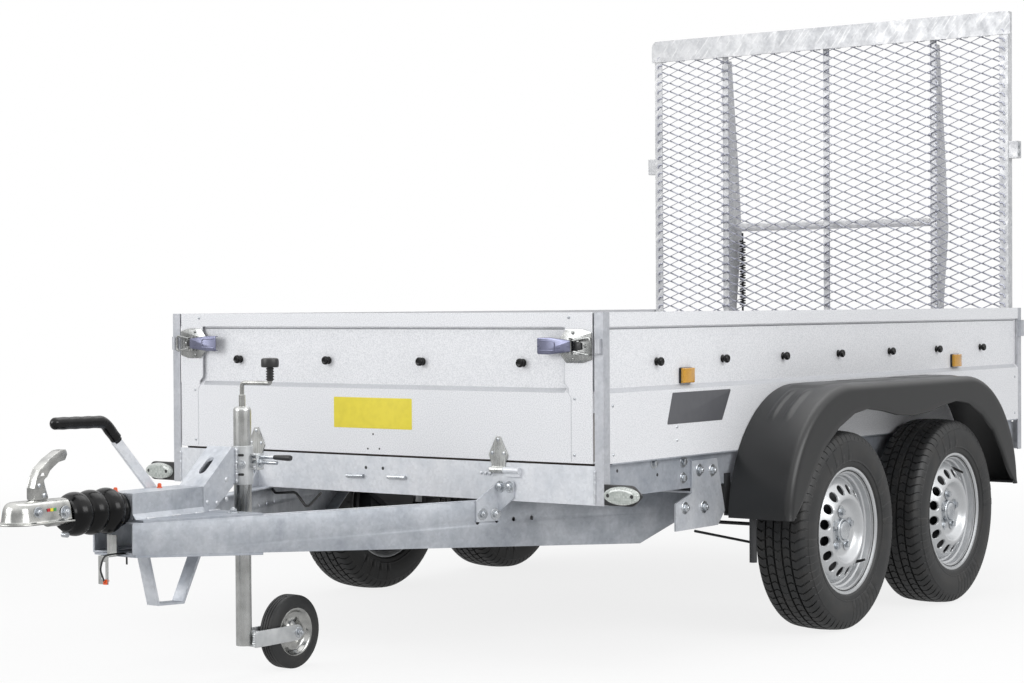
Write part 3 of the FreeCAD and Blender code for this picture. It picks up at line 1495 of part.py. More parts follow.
def ramp_mesh():
    """Expanded mesh: a sheet with staggered diamond openings."""
    low = BACK - S.ramp_setback + S.ramp_angle_wall
    half_width = RAMP_HALF - S.ramp_angle_wall
    foot = S.ramp_foot + S.ramp_angle_wall
    top = S.ramp_top - S.ramp_plate_height / 2
    columns = int(S.mesh_columns_count.value)
    rows = int(S.mesh_rows_count.value)
    margin = S.ramp_angle_width / 2
    width = (half_width.value - margin.value) * 2
    height = top.value - foot.value - margin.value * 2
    pitch_y = width / columns
    pitch_z = height / rows
    strand = S.mesh_strand.value
    face = Part.Face(Part.makePolygon([
        Vector(0, -half_width.value, foot.value), Vector(0, half_width.value, foot.value),
        Vector(0, half_width.value, top.value), Vector(0, -half_width.value, top.value),
        Vector(0, -half_width.value, foot.value)]))
    lean = math.hypot(pitch_y, pitch_z) / 2
    reach_y = pitch_y / 2 - strand * lean / pitch_z
    reach_z = pitch_z / 2 - strand * lean / pitch_y
    holes = []
    for row in range(2 * rows - 1):
        offset = 0 if row % 2 == 0 else 1
        for column in range(columns - offset):
            y = -width / 2 + pitch_y * (column + (1 + offset) / 2)
            z = foot.value + margin.value + pitch_z * (row + 1) / 2
            corners = [Vector(0, y - reach_y, z), Vector(0, y, z - reach_z),
                       Vector(0, y + reach_y, z), Vector(0, y, z + reach_z)]
            holes.append(Part.makePolygon(corners + corners[:1]))
    sheet_face = Part.Face([face.OuterWire] + holes)
    sheet_face.validate()
    item = DOC.addObject("Part::Feature", "ramp_mesh")
    item.Shape = sheet_face.extrude(Vector(S.mesh_wall.value, 0, 0))
    item.Placement = Placement(Vector(low.value, 0, 0), Rotation())
    sub_part(item, "ramp_mesh")


def ramp_beams():
    """Fish-belly channels behind the mesh, joined by a cross tube."""
    face = BACK - S.ramp_setback
    pieces = []
    foot = S.ramp_foot
    reach = S.beam_top_height - foot

    def profile(inset):
        """Side outline; the belly's points are shares of the height and of the greatest depth."""
        belly = [(inset - S.beam_depth_mid * deep, foot + reach * up) for deep, up in BELLY_SHARES]
        return [(-inset, foot + inset), (-inset, S.beam_top_height - inset),
                (inset - S.beam_depth_top, S.beam_top_height - inset)] + belly + [
                (inset - S.beam_depth_foot, foot + inset)]
    width = S.ramp_beam_width
    for side in (LEFT, RIGHT):
        tag = "left" if side > 0 else "right"
        body = new_body("ramp_beam_" + tag)
        pad(body, "XZ_Plane", profile(ZERO), width)
        pocket(body, "XZ_Plane", [profile(S.ramp_beam_wall)], width, S.ramp_beam_wall, back=True)
        place(body, face, S.ramp_beam_y * side + width / 2, ZERO)
        pieces.append(body)
    pieces.append(rod("ramp_cross_tube", S.cross_tube_radius, S.ramp_beam_y * 2,
                      face - S.cross_tube_set, -S.ramp_beam_y, S.cross_tube_height, "Y"))
    sub_part(join("ramp_beams", pieces), "ramp_beams")
    low, high = face, face + S.ramp_depth
    lug = block("ramp_lug_left", (low, high - S.ramp_angle_wall),
                (RAMP_HALF, RAMP_HALF + S.lug_reach),
                (S.lug_axis - S.lug_height / 2, S.lug_axis + S.lug_height / 2))
    sub_part(both_sides("ramp_lugs", lug), "ramp_lugs")


def check_and_export():
    DOC.recompute()
    faults = [item.Label for item in DOC.Objects
              if "Invalid" in item.State or "Error" in item.State]
    for item in SUB_PARTS:
        if item.Shape.isNull() or not item.Shape.isValid():
            faults.append(item.Label + " shape")
    for feature in CUTS:
        before = feature.BaseFeature.Shape.Volume if feature.BaseFeature else 0
        if before and feature.Shape.Volume >= before:
            faults.append(feature.Label + " cuts nothing")
    if faults:
        raise RuntimeError("faulty objects: " + ", ".join(faults))
    os.makedirs("parts", exist_ok=True)
    for item in SUB_PARTS:
        item.Shape.exportStep(os.path.join("parts", item.Label + ".step"))
        print(item.Label, len(item.Shape.Solids), round(item.Shape.Volume))


def main():
    side_panels()
    corner_posts()
    floor_board()
    side_beams()
    end_beams()
    cross_members()
    drawbars()
    drawbar_brackets()
    coupling_plates()
    coupling_housing()
    bellows()
    coupling_head()
    coupling_handle()
    handbrake()
    jockey_bracket()
    jockey_clamp()
    jockey_tube()
    jockey_fork()
    jockey_wheel()
    under_hoop()
    plug_holder()
    axles()
    road_wheels()
    mudguards()
    lamps()
    side_knobs()
    front_panel()
    ramp_frame()
    ramp_mesh()
    ramp_beams()
    check_and_export()


main()
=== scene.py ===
"""Looks of a tandem utility trailer with an upright loading ramp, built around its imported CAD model."""

from __future__ import annotations

import json
import logging
import math
import random
from collections.abc import Callable, Iterable, Sequence
from dataclasses import dataclass, field
from enum import Enum
from functools import partial

import bmesh
import bpy
from mathutils import Matrix, Vector

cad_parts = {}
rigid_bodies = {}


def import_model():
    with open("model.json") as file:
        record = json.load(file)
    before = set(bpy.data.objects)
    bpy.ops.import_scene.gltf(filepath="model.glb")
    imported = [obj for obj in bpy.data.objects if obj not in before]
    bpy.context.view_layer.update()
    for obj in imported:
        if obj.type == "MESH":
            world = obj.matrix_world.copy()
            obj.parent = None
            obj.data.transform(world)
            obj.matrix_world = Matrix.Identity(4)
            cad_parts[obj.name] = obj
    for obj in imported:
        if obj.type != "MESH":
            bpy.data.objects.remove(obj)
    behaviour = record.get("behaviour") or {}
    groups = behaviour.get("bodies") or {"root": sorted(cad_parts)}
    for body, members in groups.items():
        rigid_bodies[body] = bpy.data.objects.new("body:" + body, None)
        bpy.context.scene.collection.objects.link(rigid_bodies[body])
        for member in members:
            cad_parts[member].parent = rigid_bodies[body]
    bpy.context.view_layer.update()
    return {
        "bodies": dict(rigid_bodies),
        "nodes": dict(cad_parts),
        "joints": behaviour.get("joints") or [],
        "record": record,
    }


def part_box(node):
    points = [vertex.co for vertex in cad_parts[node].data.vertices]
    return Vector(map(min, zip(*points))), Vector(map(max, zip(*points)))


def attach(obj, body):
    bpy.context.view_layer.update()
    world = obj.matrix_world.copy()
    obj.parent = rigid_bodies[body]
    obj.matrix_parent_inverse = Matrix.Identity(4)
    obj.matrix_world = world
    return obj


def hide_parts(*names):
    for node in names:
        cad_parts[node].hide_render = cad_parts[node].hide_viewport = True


LOG = logging.getLogger("trailer")
MM = 0.001
IMAGE_WIDTH_PX, IMAGE_HEIGHT_PX = 1024, 683
FULL_TURN = 2 * math.pi
WHITE = (1.0, 1.0, 1.0, 1.0)

Point = tuple[float, float]
Place = tuple[float, float, float]
Socket = bpy.types.NodeSocket


class Side(Enum):
    """Side of the trailer, as the sign of its Y."""

    LEFT = 1
    RIGHT = -1


class Slot(Enum):
    """Material slots of the record, which each finish names."""

    GALVANISED = "galvanised"
    SHEET = "coated_sheet"
    FLOOR = "floor"
    ZINC = "zinc"
    RIM = "rim_silver"
    TYRE = "tyre"
    RUBBER = "rubber"
    PLASTIC = "black_plastic"
    AMBER = "amber_lens"
    RED = "red_lens"
    CLEAR = "clear_lens"
    AXLE = "axle_black"


# Colour and nodes


def linear(hex_colour: str) -> tuple[float, float, float, float]:
    """Turns an sRGB hex colour into the linear one that the shaders take, with an alpha of 1."""
    channels = [int(hex_colour[start : start + 2], 16) / 255 for start in (0, 2, 4)]
    return (*[c / 12.92 if c <= 0.04045 else ((c + 0.055) / 1.055) ** 2.4 for c in channels], 1.0)


def feed(tree: bpy.types.NodeTree, node: bpy.types.Node, inputs: dict) -> None:
    """Sets or links a node's inputs, given by name or number.

    Args:
        tree: Node tree that holds the node.
        node: Node to set.
        inputs: Values or output sockets, by input name or number.
    """
    for key, value in inputs.items():
        if isinstance(value, Socket):
            tree.links.new(value, node.inputs[key])
        else:
            node.inputs[key].default_value = value


def add_node(tree: bpy.types.NodeTree, kind: str, inputs: dict | None = None, **settings: str | int) -> bpy.types.Node:
    """Adds one node with its settings, values and links.

    Args:
        tree: Node tree that takes the node.
        kind: Name of the node type, after ShaderNode.
        inputs: Values or output sockets, by input name or number.
        **settings: Attributes of the node.

    Returns:
        The new node.
    """
    node = tree.nodes.new("ShaderNode" + kind)
    for key, value in settings.items():
        setattr(node, key, value)
    feed(tree, node, inputs or {})
    return node


class Look:
    """Node tree of one finish, with the patterns that the finishes share, sized in real millimetres."""

    def __init__(self, finish: Finish) -> None:
        """Starts the material with its shader, its output and the object's coordinates.

        Args:
            finish: Finish that the tree belongs to.
        """
        self.finish = finish
        self.material = bpy.data.materials.new(finish.name)
        self.material.use_nodes = True
        self.tree = self.material.node_tree
        self.tree.nodes.clear()
        self.shader = self.add("BsdfPrincipled", {"Metallic": finish.metallic, "Roughness": finish.roughness})
        self.output = self.add("OutputMaterial", {"Surface": self.shader.outputs[0]})
        self.place = self.add("TexCoord").outputs["Object"]

    def add(self, kind: str, inputs: dict | None = None, **settings: str | int) -> bpy.types.Node:
        """Adds one node to the tree."""
        return add_node(self.tree, kind, inputs, **settings)

    def surface(self, **inputs: Socket | float | tuple) -> None:
        """Sets the shader's inputs, whose names have underscores for spaces here."""
        feed(self.tree, self.shader, {key.replace("_", " "): value for key, value in inputs.items()})

    def noise(self, size_mm: float, detail: float = 2.0, rough: float = 0.5, place: Socket | None = None) -> Socket:
        """Adds soft noise with features of a size."""
        return self.add("TexNoise", {"Vector": self.place if place is None else place, "Detail": detail,
                                     "Scale": 1 / (size_mm * MM), "Roughness": rough}).outputs[0]

    def cells(self, size_mm: float, uneven: float = 1.0, distance: str = "EUCLIDEAN") -> bpy.types.Node:
        """Adds cells of a size, which lie in a square grid where uneven is 0."""
        return self.add("TexVoronoi", {"Vector": self.place, "Scale": 1 / (size_mm * MM), "Randomness": uneven},
                        distance=distance)

    def stretch(self, inputs: dict, kind: str = "POINT") -> Socket:
        """Returns the object's coordinates scaled and turned."""
        return self.add("Mapping", {"Vector": self.place, **inputs}, vector_type=kind).outputs[0]

    def span(self, value: Socket, low: float, high: float, start: float = 0.0, end: float = 1.0) -> Socket:
        """Maps a value's range from start to end onto low to high."""
        return self.add("MapRange", {"Value": value, "From Min": start, "From Max": end,
                                     "To Min": low, "To Max": high}).outputs[0]

    def mix(self, amount: Socket, first: Socket | str, second: str) -> Socket:
        """Mixes two colours, of which the first may already be a socket."""
        return self.add("Mix", {0: amount, 6: linear(first) if isinstance(first, str) else first, 7: linear(second)},
                        data_type="RGBA").outputs[2]

    def level(self, colour: Socket, value: Socket) -> Socket:
        """Makes a colour lighter or darker."""
        return self.add("HueSaturation", {"Color": colour, "Value": value}).outputs[0]

    def relief(self, height: Socket, depth_mm: float, strength: float) -> None:
        """Links a height from 0 to 1 to the normal, over soft edges where the finish has them.

        Args:
            height: Height from 0 to 1.
            depth_mm: Depth that a height of 1 stands for.
            strength: Share of the depth that shows.
        """
        bump = self.add("Bump", {"Height": height, "Distance": depth_mm * MM, "Strength": strength})
        if self.finish.soft_edge_mm > 0:
            edge = self.add("Bevel", {"Radius": self.finish.soft_edge_mm * MM}, samples=4)
            feed(self.tree, bump, {"Normal": edge.outputs[0]})
        self.surface(Normal=bump.outputs[0])


# Finishes


@dataclass(frozen=True)
class Finish:
    """Surface of one real material, built once and shared by its pieces."""

    name: str
    colour: str
    roughness: float
    metallic: float = 0.0
    soft_edge_mm: float = 0.0
    slot: Slot = Slot.GALVANISED

    def build(self) -> bpy.types.Material:
        """Builds the material.

        Returns:
            The material.
        """
        look = Look(self)
        self.paint(look)
        return look.material

    def paint(self, look: Look) -> None:
        """Adds the pattern nodes of the finish to its look."""
        raise NotImplementedError


@dataclass(frozen=True)
class HotDipSteel(Finish):
    """Steel dipped in molten zinc: blue-grey, clouded where the zinc cooled unevenly, with faint spangle."""

    cloud: str = "A9AEB6"
    cloud_mm: float = 60.0
    spangle_mm: float = 9.0
    run_mm: float = 260.0
    scratch: float = 0.0

    def paint(self, look: Look) -> None:
        """Clouds and spangle in colour and gloss, and the slight unevenness that dipping leaves.

        Args:
            look: Look that takes the nodes.
        """
        cloud = look.noise(self.cloud_mm, 7.0, 0.62)
        streak = look.noise(self.run_mm, 5.0, 0.6, look.stretch({"Scale": (1.0, 1.0, 0.6)}))
        both = look.add("Math", {0: cloud, 1: streak}, operation="ADD").outputs[0]
        base = look.mix(look.span(both, 0.0, 1.0, 0.72, 1.2), self.cloud, self.colour)
        tone = look.add("SeparateColor", {"Color": look.cells(self.spangle_mm).outputs["Color"]}).outputs[0]
        base = look.level(base, look.span(tone, 0.93, 1.04))
        if self.scratch > 0:
            slant = look.stretch({"Rotation": (0.9, 0.0, 0.0), "Scale": (1.0, 9.0, 1.0)}, "TEXTURE")
            line = look.span(look.noise(9.0, 4.0, place=slant), 0.0, self.scratch, 0.56, 0.68)
            base = look.mix(line, base, "F4F4F4")
        look.surface(Base_Color=base,
                     Roughness=look.span(cloud, self.roughness + 0.1, self.roughness - 0.08, 0.3, 0.7))
        look.relief(look.noise(6.0, 3.0), 0.5, 0.35)


@dataclass(frozen=True)
class CoatedSheet(Finish):
    """Rolled sheet with an aluminium-zinc coat: pale, with a fine grain that sparkles faintly."""

    slot: Slot = Slot.SHEET
    fleck: str = "C9CBCF"
    fleck_mm: float = 3.2

    def paint(self, look: Look) -> None:
        """Flecks a little coarser than the real crystals, so that they show at this distance.

        Args:
            look: Look that takes the nodes.
        """
        fleck = look.noise(self.fleck_mm, 2.0, 0.7)
        patch = look.noise(self.fleck_mm * 90)
        base = look.mix(look.span(fleck, 0.0, 1.0, 0.34, 0.62), self.fleck, self.colour)
        look.surface(Base_Color=look.level(base, look.span(patch, 0.965, 1.02)),
                     Roughness=look.span(fleck, self.roughness + 0.12, self.roughness - 0.1))
        look.relief(fleck, 0.12, 0.4)


@dataclass(frozen=True)
class PlatedSteel(Finish):
    """Drawn or pressed steel with bright zinc plate: a clear reflection, drawn out along the metal."""

    slot: Slot = Slot.ZINC
    shade: str = "A9A79F"
    drawn_mm: float = 5.0
    drawn: Place = (1.0, 1.0, 0.06)

    def paint(self, look: Look) -> None:
        """Long fine lines from drawing, which blur the reflection across them.

        Args:
            look: Look that takes the nodes.
        """
        line = look.noise(self.drawn_mm, 5.0, place=look.stretch({"Scale": self.drawn}))
        tarnish = look.span(look.noise(45.0, 4.0), 0.0, 1.0, 0.35, 0.7)
        look.surface(Base_Color=look.mix(tarnish, self.colour, self.shade),
                     Roughness=look.span(line, self.roughness - 0.05, self.roughness + 0.09, 0.3, 0.7))
        look.relief(line, 0.08, 0.5)


@dataclass(frozen=True)
class MouldedPlastic(Finish):
    """Moulded black plastic: an even satin skin with the fine grain of its mould."""

    slot: Slot = Slot.PLASTIC
    worn: str = "4A4A4B"
    grain_mm: float = 1.4
    coat: float = 0.0
    mirror: float = 0.5

    def paint(self, look: Look) -> None:
        """Mould grain in the relief and a soft unevenness in the gloss.

        Args:
            look: Look that takes the nodes.
        """
        haze = look.noise(140.0, 4.0)
        look.surface(Base_Color=look.mix(look.span(haze, 0.0, 0.35, 0.45, 0.85), self.colour, self.worn),
                     Roughness=look.span(haze, self.roughness - 0.06, self.roughness + 0.08),
                     Coat_Weight=self.coat, Coat_Roughness=0.12, Specular_IOR_Level=self.mirror)
        look.relief(look.noise(self.grain_mm), 0.12, 0.35)


@dataclass(frozen=True)
class VulcanisedRubber(Finish):
    """Vulcanised rubber: near black and dull, with a grey-brown bloom and dust where it was handled."""

    slot: Slot = Slot.RUBBER
    dust: str = "5A554F"
    bloom_mm: float = 55.0
    mirror: float = 0.5

    def paint(self, look: Look) -> None:
        """Bloom in soft patches and the fine pores of the mould.

        Args:
            look: Look that takes the nodes.
        """
        bloom = look.noise(self.bloom_mm, 6.0)
        look.surface(Base_Color=look.mix(look.span(bloom, 0.0, 0.4, 0.45, 0.8), self.colour, self.dust),
                     Roughness=look.span(bloom, self.roughness - 0.08, self.roughness + 0.1),
                     Specular_IOR_Level=self.mirror)
        look.relief(look.noise(2.0), 0.15, 0.3)


@dataclass(frozen=True)
class SilverPaint(Finish):
    """Sprayed silver wheel paint: aluminium flakes under a thin clear coat."""

    slot: Slot = Slot.RIM
    flake: str = "A7A9AB"
    flake_mm: float = 1.6

    def paint(self, look: Look) -> None:
        """Flakes drawn coarser than real ones, which are too fine to show.

        Args:
            look: Look that takes the nodes.
        """
        tone = look.add("SeparateColor", {"Color": look.cells(self.flake_mm).outputs["Color"]}).outputs[0]
        look.surface(Base_Color=look.mix(look.span(tone, 0.0, 0.35), self.colour, self.flake),
                     Coat_Weight=0.4, Coat_Roughness=0.15)
        look.relief(look.noise(8.0), 0.1, 0.25)


@dataclass(frozen=True)
class MouldedLens(Finish):
    """Moulded acrylic lens: clear and glossy outside, with rows of prisms behind that catch the light."""

    deep: str = "B36A00"
    prism_mm: float = 4.0
    transmission: float = 0.25

    def paint(self, look: Look) -> None:
        """Prisms as small cells of lighter and deeper colour.

        Args:
            look: Look that takes the nodes.
        """
        prism = look.cells(self.prism_mm, 0.25, "CHEBYCHEV").outputs["Distance"]
        look.surface(Base_Color=look.mix(look.span(prism, 0.0, 1.0, 0.1, 0.6), self.colour, self.deep),
                     Coat_Weight=1.0, Coat_Roughness=0.04, Transmission_Weight=self.transmission, IOR=1.49)
        look.relief(prism, 0.6, 0.5)


@dataclass(frozen=True)
class FilmFacedPlywood(Finish):
    """Birch plywood pressed with a brown phenolic film that carries a fine wire-mesh pattern."""

    slot: Slot = Slot.FLOOR
    pressed: str = "2C231D"
    mesh_mm: float = 6.0

    def paint(self, look: Look) -> None:
        """Crossed lines of the pressed mesh, darker where they are deepest.

        Args:
            look: Look that takes the nodes.
        """
        grid = look.cells(self.mesh_mm, 0.0, "CHEBYCHEV").outputs["Distance"]
        base = look.mix(look.span(grid, 0.0, 1.0, 0.38, 0.5), self.colour, self.pressed)
        look.surface(Base_Color=look.level(base, look.span(look.noise(220.0, 5.0), 0.85, 1.15)))
        look.relief(grid, 0.4, 0.4)


@dataclass(frozen=True)
class PrintedFilm(Finish):
    """Self-adhesive vinyl, left blank: an even colour under a thin gloss, uneven where it was rubbed down."""

    slot: Slot = Slot.SHEET
    rubbed: str = "C9B92F"

    def paint(self, look: Look) -> None:
        """Faint patches where the film lies closer to the sheet's grain.

        Args:
            look: Look that takes the nodes.
        """
        patch = look.noise(24.0, 5.0)
        look.surface(Base_Color=look.mix(look.span(patch, 0.0, 0.5, 0.4, 0.8), self.colour, self.rubbed))
        look.relief(patch, 0.1, 0.3)


@dataclass(frozen=True)
class StageFloor(Finish):
    """Painted studio floor that runs out into the white background and keeps the trailer's shadow."""

    clear_radius_m: float = 3.2
    white_radius_m: float = 6.5
    shadow_share: float = 0.17
    mirrored_light: float = 0.6

    def paint(self, look: Look) -> None:
        """Mixes the lit floor with plain white for what the camera and reflections see.

        Args:
            look: Look that takes the nodes.
        """
        look.surface(Base_Color=linear(self.colour))
        path = look.add("LightPath").outputs
        glossy = path["Is Glossy Ray"]
        white = look.add("Emission", {"Color": WHITE, "Strength": look.span(glossy, 1.0, self.mirrored_light)})
        seen = look.add("Math", {0: path["Is Camera Ray"], 1: glossy}, operation="MAXIMUM")
        seen = look.add("Math", {0: seen.outputs[0], 1: path["Is Transmission Ray"]}, operation="MAXIMUM")
        reach = look.add("VectorMath", {0: look.place}, operation="LENGTH")
        fade = look.add("MapRange", {
            "Value": reach.outputs["Value"], "From Min": self.clear_radius_m, "From Max": self.white_radius_m,
            "To Min": 1.0 - self.shadow_share, "To Max": 1.0}, interpolation_type="SMOOTHSTEP")
        amount = look.add("Math", {0: fade.outputs[0], 1: seen.outputs[0]}, operation="MULTIPLY")
        mixed = look.add("MixShader", {0: amount.outputs[0], 1: look.shader.outputs[0], 2: white.outputs[0]})
        feed(look.tree, look.output, {"Surface": mixed.outputs[0]})


# Typical values for each material, then matched to the photographed trailer.
GALVANISED = HotDipSteel("hot_dip_galvanised_steel", "CDD0D5", 0.42, 0.45, 1.2)
# Darker copy of the galvanised steel: painted shade for the side beams, which stand in shadow under the box; the
# coupling plates share it.
GALVANISED_SHADED_FRAME = HotDipSteel("hot_dip_galvanised_frame", "AFB3BA", 0.44, 0.45, 1.2, cloud="90969F")
GALVANISED_DRAWBAR = HotDipSteel("hot_dip_galvanised_drawbar", "BEC2C8", 0.42, 0.45, 1.2, cloud="989DA5")
# Darker copy for the cross members under the floor: painted shade.
GALVANISED_UNDERSIDE_SHADE = HotDipSteel("hot_dip_galvanised_underside", "A2A7AD", 0.5, 0.5, 1.2, cloud="80868E")
WELD_ZINC = HotDipSteel("galvanised_weld", "D6D8DB", 0.38, 0.5, cloud="B4B8BE", cloud_mm=14.0)
RAMP_ZINC = HotDipSteel("hot_dip_galvanised_ramp", "D0D1D3", 0.42, 0.4, 1.0, cloud="B2B4B8", cloud_mm=40.0,
                        scratch=0.45)
POST_ZINC = HotDipSteel("hot_dip_galvanised_post", "C1C3C8", 0.42, 0.4, 1.0, cloud="A7AAB0", cloud_mm=45.0)
BEAM_ZINC = HotDipSteel("hot_dip_galvanised_beam", "DEE0E4", 0.42, 0.35, 1.0, cloud="C3C7CD", cloud_mm=55.0)
# Near-white, barely metallic copy for the round cross tube: painted highlight.
TUBE_PAINTED_HIGHLIGHT = HotDipSteel("hot_dip_galvanised_tube", "F4F4F4", 0.4, 0.1, cloud="E2E3E5", cloud_mm=25.0)
MESH_ZINC = HotDipSteel("expanded_mesh_zinc", "BDBFCA", 0.45, 0.4, cloud="A4A6B4", cloud_mm=30.0)
SHEET = CoatedSheet("aluminium_zinc_coated_sheet", "E4E5E8", 0.46, 0.12, 1.0)
# Grey for the sloped lower folds, where it is painted shade, and for the seam lines along the end plates.
FOLD_SHADE_AND_SEAM_GREY = CoatedSheet("coated_sheet_fold", "BFC1C5", 0.5, 0.1, fleck="B0B2B7")
# Dark grey strip under the top rim of the panels: painted shadow of the rim.
RIM_PAINTED_SHADOW = CoatedSheet("coated_sheet_seam", "8A8C90", 0.6, 0.1, fleck="7B7D81")
BRIGHT_ZINC = PlatedSteel("bright_zinc_plate", "BABAB7", 0.2, 0.95, shade="8B8C8A")
BRIGHT_ZINC_EDGE = PlatedSteel("bright_zinc_plate_edges", "CDCECC", 0.26, 0.9, 0.8, shade="A3A4A2")
STAMPED_ZINC = PlatedSteel("stamped_latch_zinc", "B4B5B4", 0.24, 0.95, shade="858786", drawn_mm=9.0,
                           drawn=(1.0, 1.0, 1.0))
PRESSED_ZINC = PlatedSteel("pressed_zinc_steel", "BFBFBC", 0.18, 0.95, shade="909190", drawn=(0.08, 1.0, 1.0))
TUBE_ZINC = PlatedSteel("drawn_tube_zinc", "C2C3C2", 0.27, 0.95, shade="A5A6A4")
LATCH_ZINC = PlatedSteel("blue_passivated_zinc", "7F8196", 0.3, 0.85, shade="65677C", drawn=(1.0, 0.2, 1.0))
WHITE_ZINC = PlatedSteel("passivated_zinc_strip", "D3D5D6", 0.36, 0.7, shade="B4B7B9")
BOLT_ZINC = PlatedSteel("bolt_zinc", "D0D3D6", 0.26, 0.9, shade="9DA2A8", drawn_mm=2.0)
BLACK_SATIN = MouldedPlastic("moulded_polyethylene", "18191A", 0.38, worn="252627")
BLACK_GLOSS = MouldedPlastic("moulded_nylon", "0C0C0D", 0.18, worn="151516", grain_mm=2.5, mirror=0.3)
BLACK_GRIP = MouldedPlastic("moulded_soft_grip", "222223", 0.4, worn="333334", grain_mm=1.8)
ORANGE_CAP = MouldedPlastic("orange_cap", "D8541F", 0.4, worn="C24A1B", grain_mm=2.0)
AXLE_BLACK = MouldedPlastic("black_dipped_axle", "2A2B2D", 0.5, slot=Slot.AXLE, worn="3C3D40", grain_mm=4.0, coat=0.1)
TYRE_RUBBER = VulcanisedRubber("tyre_rubber", "1F2021", 0.52, slot=Slot.TYRE, dust="3E3B38")
BELLOWS_RUBBER = VulcanisedRubber("bellows_rubber", "050506", 0.2, dust="0D0D0E", mirror=0.26)
CABLE_RUBBER = VulcanisedRubber("cable_sheath", "171717", 0.45, dust="2C2C2C")
RIM_SILVER = SilverPaint("silver_wheel_paint", "C3C5C7", 0.32, 0.5)
AMBER = MouldedLens("amber_acrylic", "F0B52C", 0.12, slot=Slot.AMBER, deep="C98C14")
RED = MouldedLens("red_acrylic", "B3161B", 0.12, slot=Slot.RED, deep="6E0A0E")
CLEAR = MouldedLens("clear_acrylic", "DDE2DE", 0.1, slot=Slot.CLEAR, deep="9CA39E", prism_mm=7.0, transmission=0.15)
FLOOR_PLY = FilmFacedPlywood("film_faced_plywood", "40342C", 0.5)
YELLOW_FILM = PrintedFilm("yellow_vinyl", "DFCF3A", 0.4)
GREEN_FILM = PrintedFilm("green_vinyl", "3E8F4A", 0.4, rubbed="35803F")
RED_FILM = PrintedFilm("red_vinyl", "B6262A", 0.4, rubbed="A02024")
GREY_FILM = PrintedFilm("dark_grey_vinyl", "525357", 0.42, rubbed="494A4E")
STAGE_FLOOR = StageFloor("studio_floor", "E6E6E6", 0.9)


# Shapes, in millimetres from the middle of the box's front face


MIRROR = Matrix.Scale(-1, 4, (0, 1, 0))


@dataclass
class Shape:
    """Points and faces of a mesh that is still being put together."""

    points: list[Vector] = field(default_factory=list)
    faces: list[tuple[int, ...]] = field(default_factory=list)

    def moved(self, matrix: Matrix) -> Shape:
        """Returns a copy that the matrix has moved."""
        faces = self.faces if matrix.determinant() > 0 else [face[::-1] for face in self.faces]
        return Shape([matrix @ point for point in self.points], list(faces))

    def at(self, x: float, y: float, z: float) -> Shape:
        """Returns a copy shifted by x, y and z."""
        return self.moved(Matrix.Translation((x, y, z)))

    def on(self, side: Side) -> Shape:
        """Returns the left side's shape as it is on a side."""
        return self if side is Side.LEFT else self.moved(MIRROR)

    def both_sides(self) -> Shape:
        """Returns the shape with its mirror image on the other side of the trailer."""
        return together([self, self.moved(MIRROR)])


def together(shapes: Iterable[Shape]) -> Shape:
    """Joins shapes that share a finish into one.

    Args:
        shapes: Shapes to join.

    Returns:
        One shape with all their points and faces.
    """
    joined = Shape()
    for shape in shapes:
        start = len(joined.points)
        joined.points += shape.points
        joined.faces += [tuple(index + start for index in face) for face in shape.faces]
    return joined


def polar(radius: float, angle: float, height: float = 0.0) -> Vector:
    """Returns the point at a radius and angle round the third axis."""
    return Vector((radius * math.cos(angle), radius * math.sin(angle), height))


def grid(rows: int, count: int, ring: bool = True) -> list[tuple[int, ...]]:
    """Returns the faces between rows of count points, each row a ring or an open line.

    Args:
        rows: Number of rows.
        count: Points in each row.
        ring: Whether the last point of a row joins its first.

    Returns:
        Faces as lists of point numbers.
    """
    return [(row * count + step, row * count + (step + 1) % count,
             (row + 1) * count + (step + 1) % count, (row + 1) * count + step)
            for row in range(rows - 1) for step in range(count if ring else count - 1)]


def facing(origin: Place, across: Place, up: Place) -> Matrix:
    """Makes the matrix that lays a flat outline in space.

    Args:
        origin: Where the outline's zero goes.
        across: Direction of its first axis.
        up: Rough direction of its second axis.

    Returns:
        Matrix whose third axis is across times up.
    """
    first = Vector(across).normalized()
    third = first.cross(Vector(up)).normalized()
    matrix = Matrix((first, third.cross(first), third)).transposed().to_4x4()
    matrix.translation = Vector(origin)
    return matrix


def on_side(y: float) -> Matrix:
    """Lays an outline in the XZ plane at a place across, with its thickness towards -Y."""
    return facing((0, y, 0), (1, 0, 0), (0, 0, 1))


def outward(x: float, y: float, z: float, side: int = 1) -> Matrix:
    """Lays a turned piece on a side of the trailer, with its axis outwards."""
    return facing((x, y, z), (-side, 0, 0), (0, 0, 1))


def on_front(x: float, y: float = 0, z: float = 0) -> Matrix:
    """Lays an outline in the YZ plane, with its thickness towards +X."""
    return facing((x, y, z), (0, 1, 0), (0, 0, 1))


def on_top(x: float, y: float, z: float) -> Matrix:
    """Lays an outline in the XY plane, with its thickness upwards."""
    return facing((x, y, z), (1, 0, 0), (0, 1, 0))


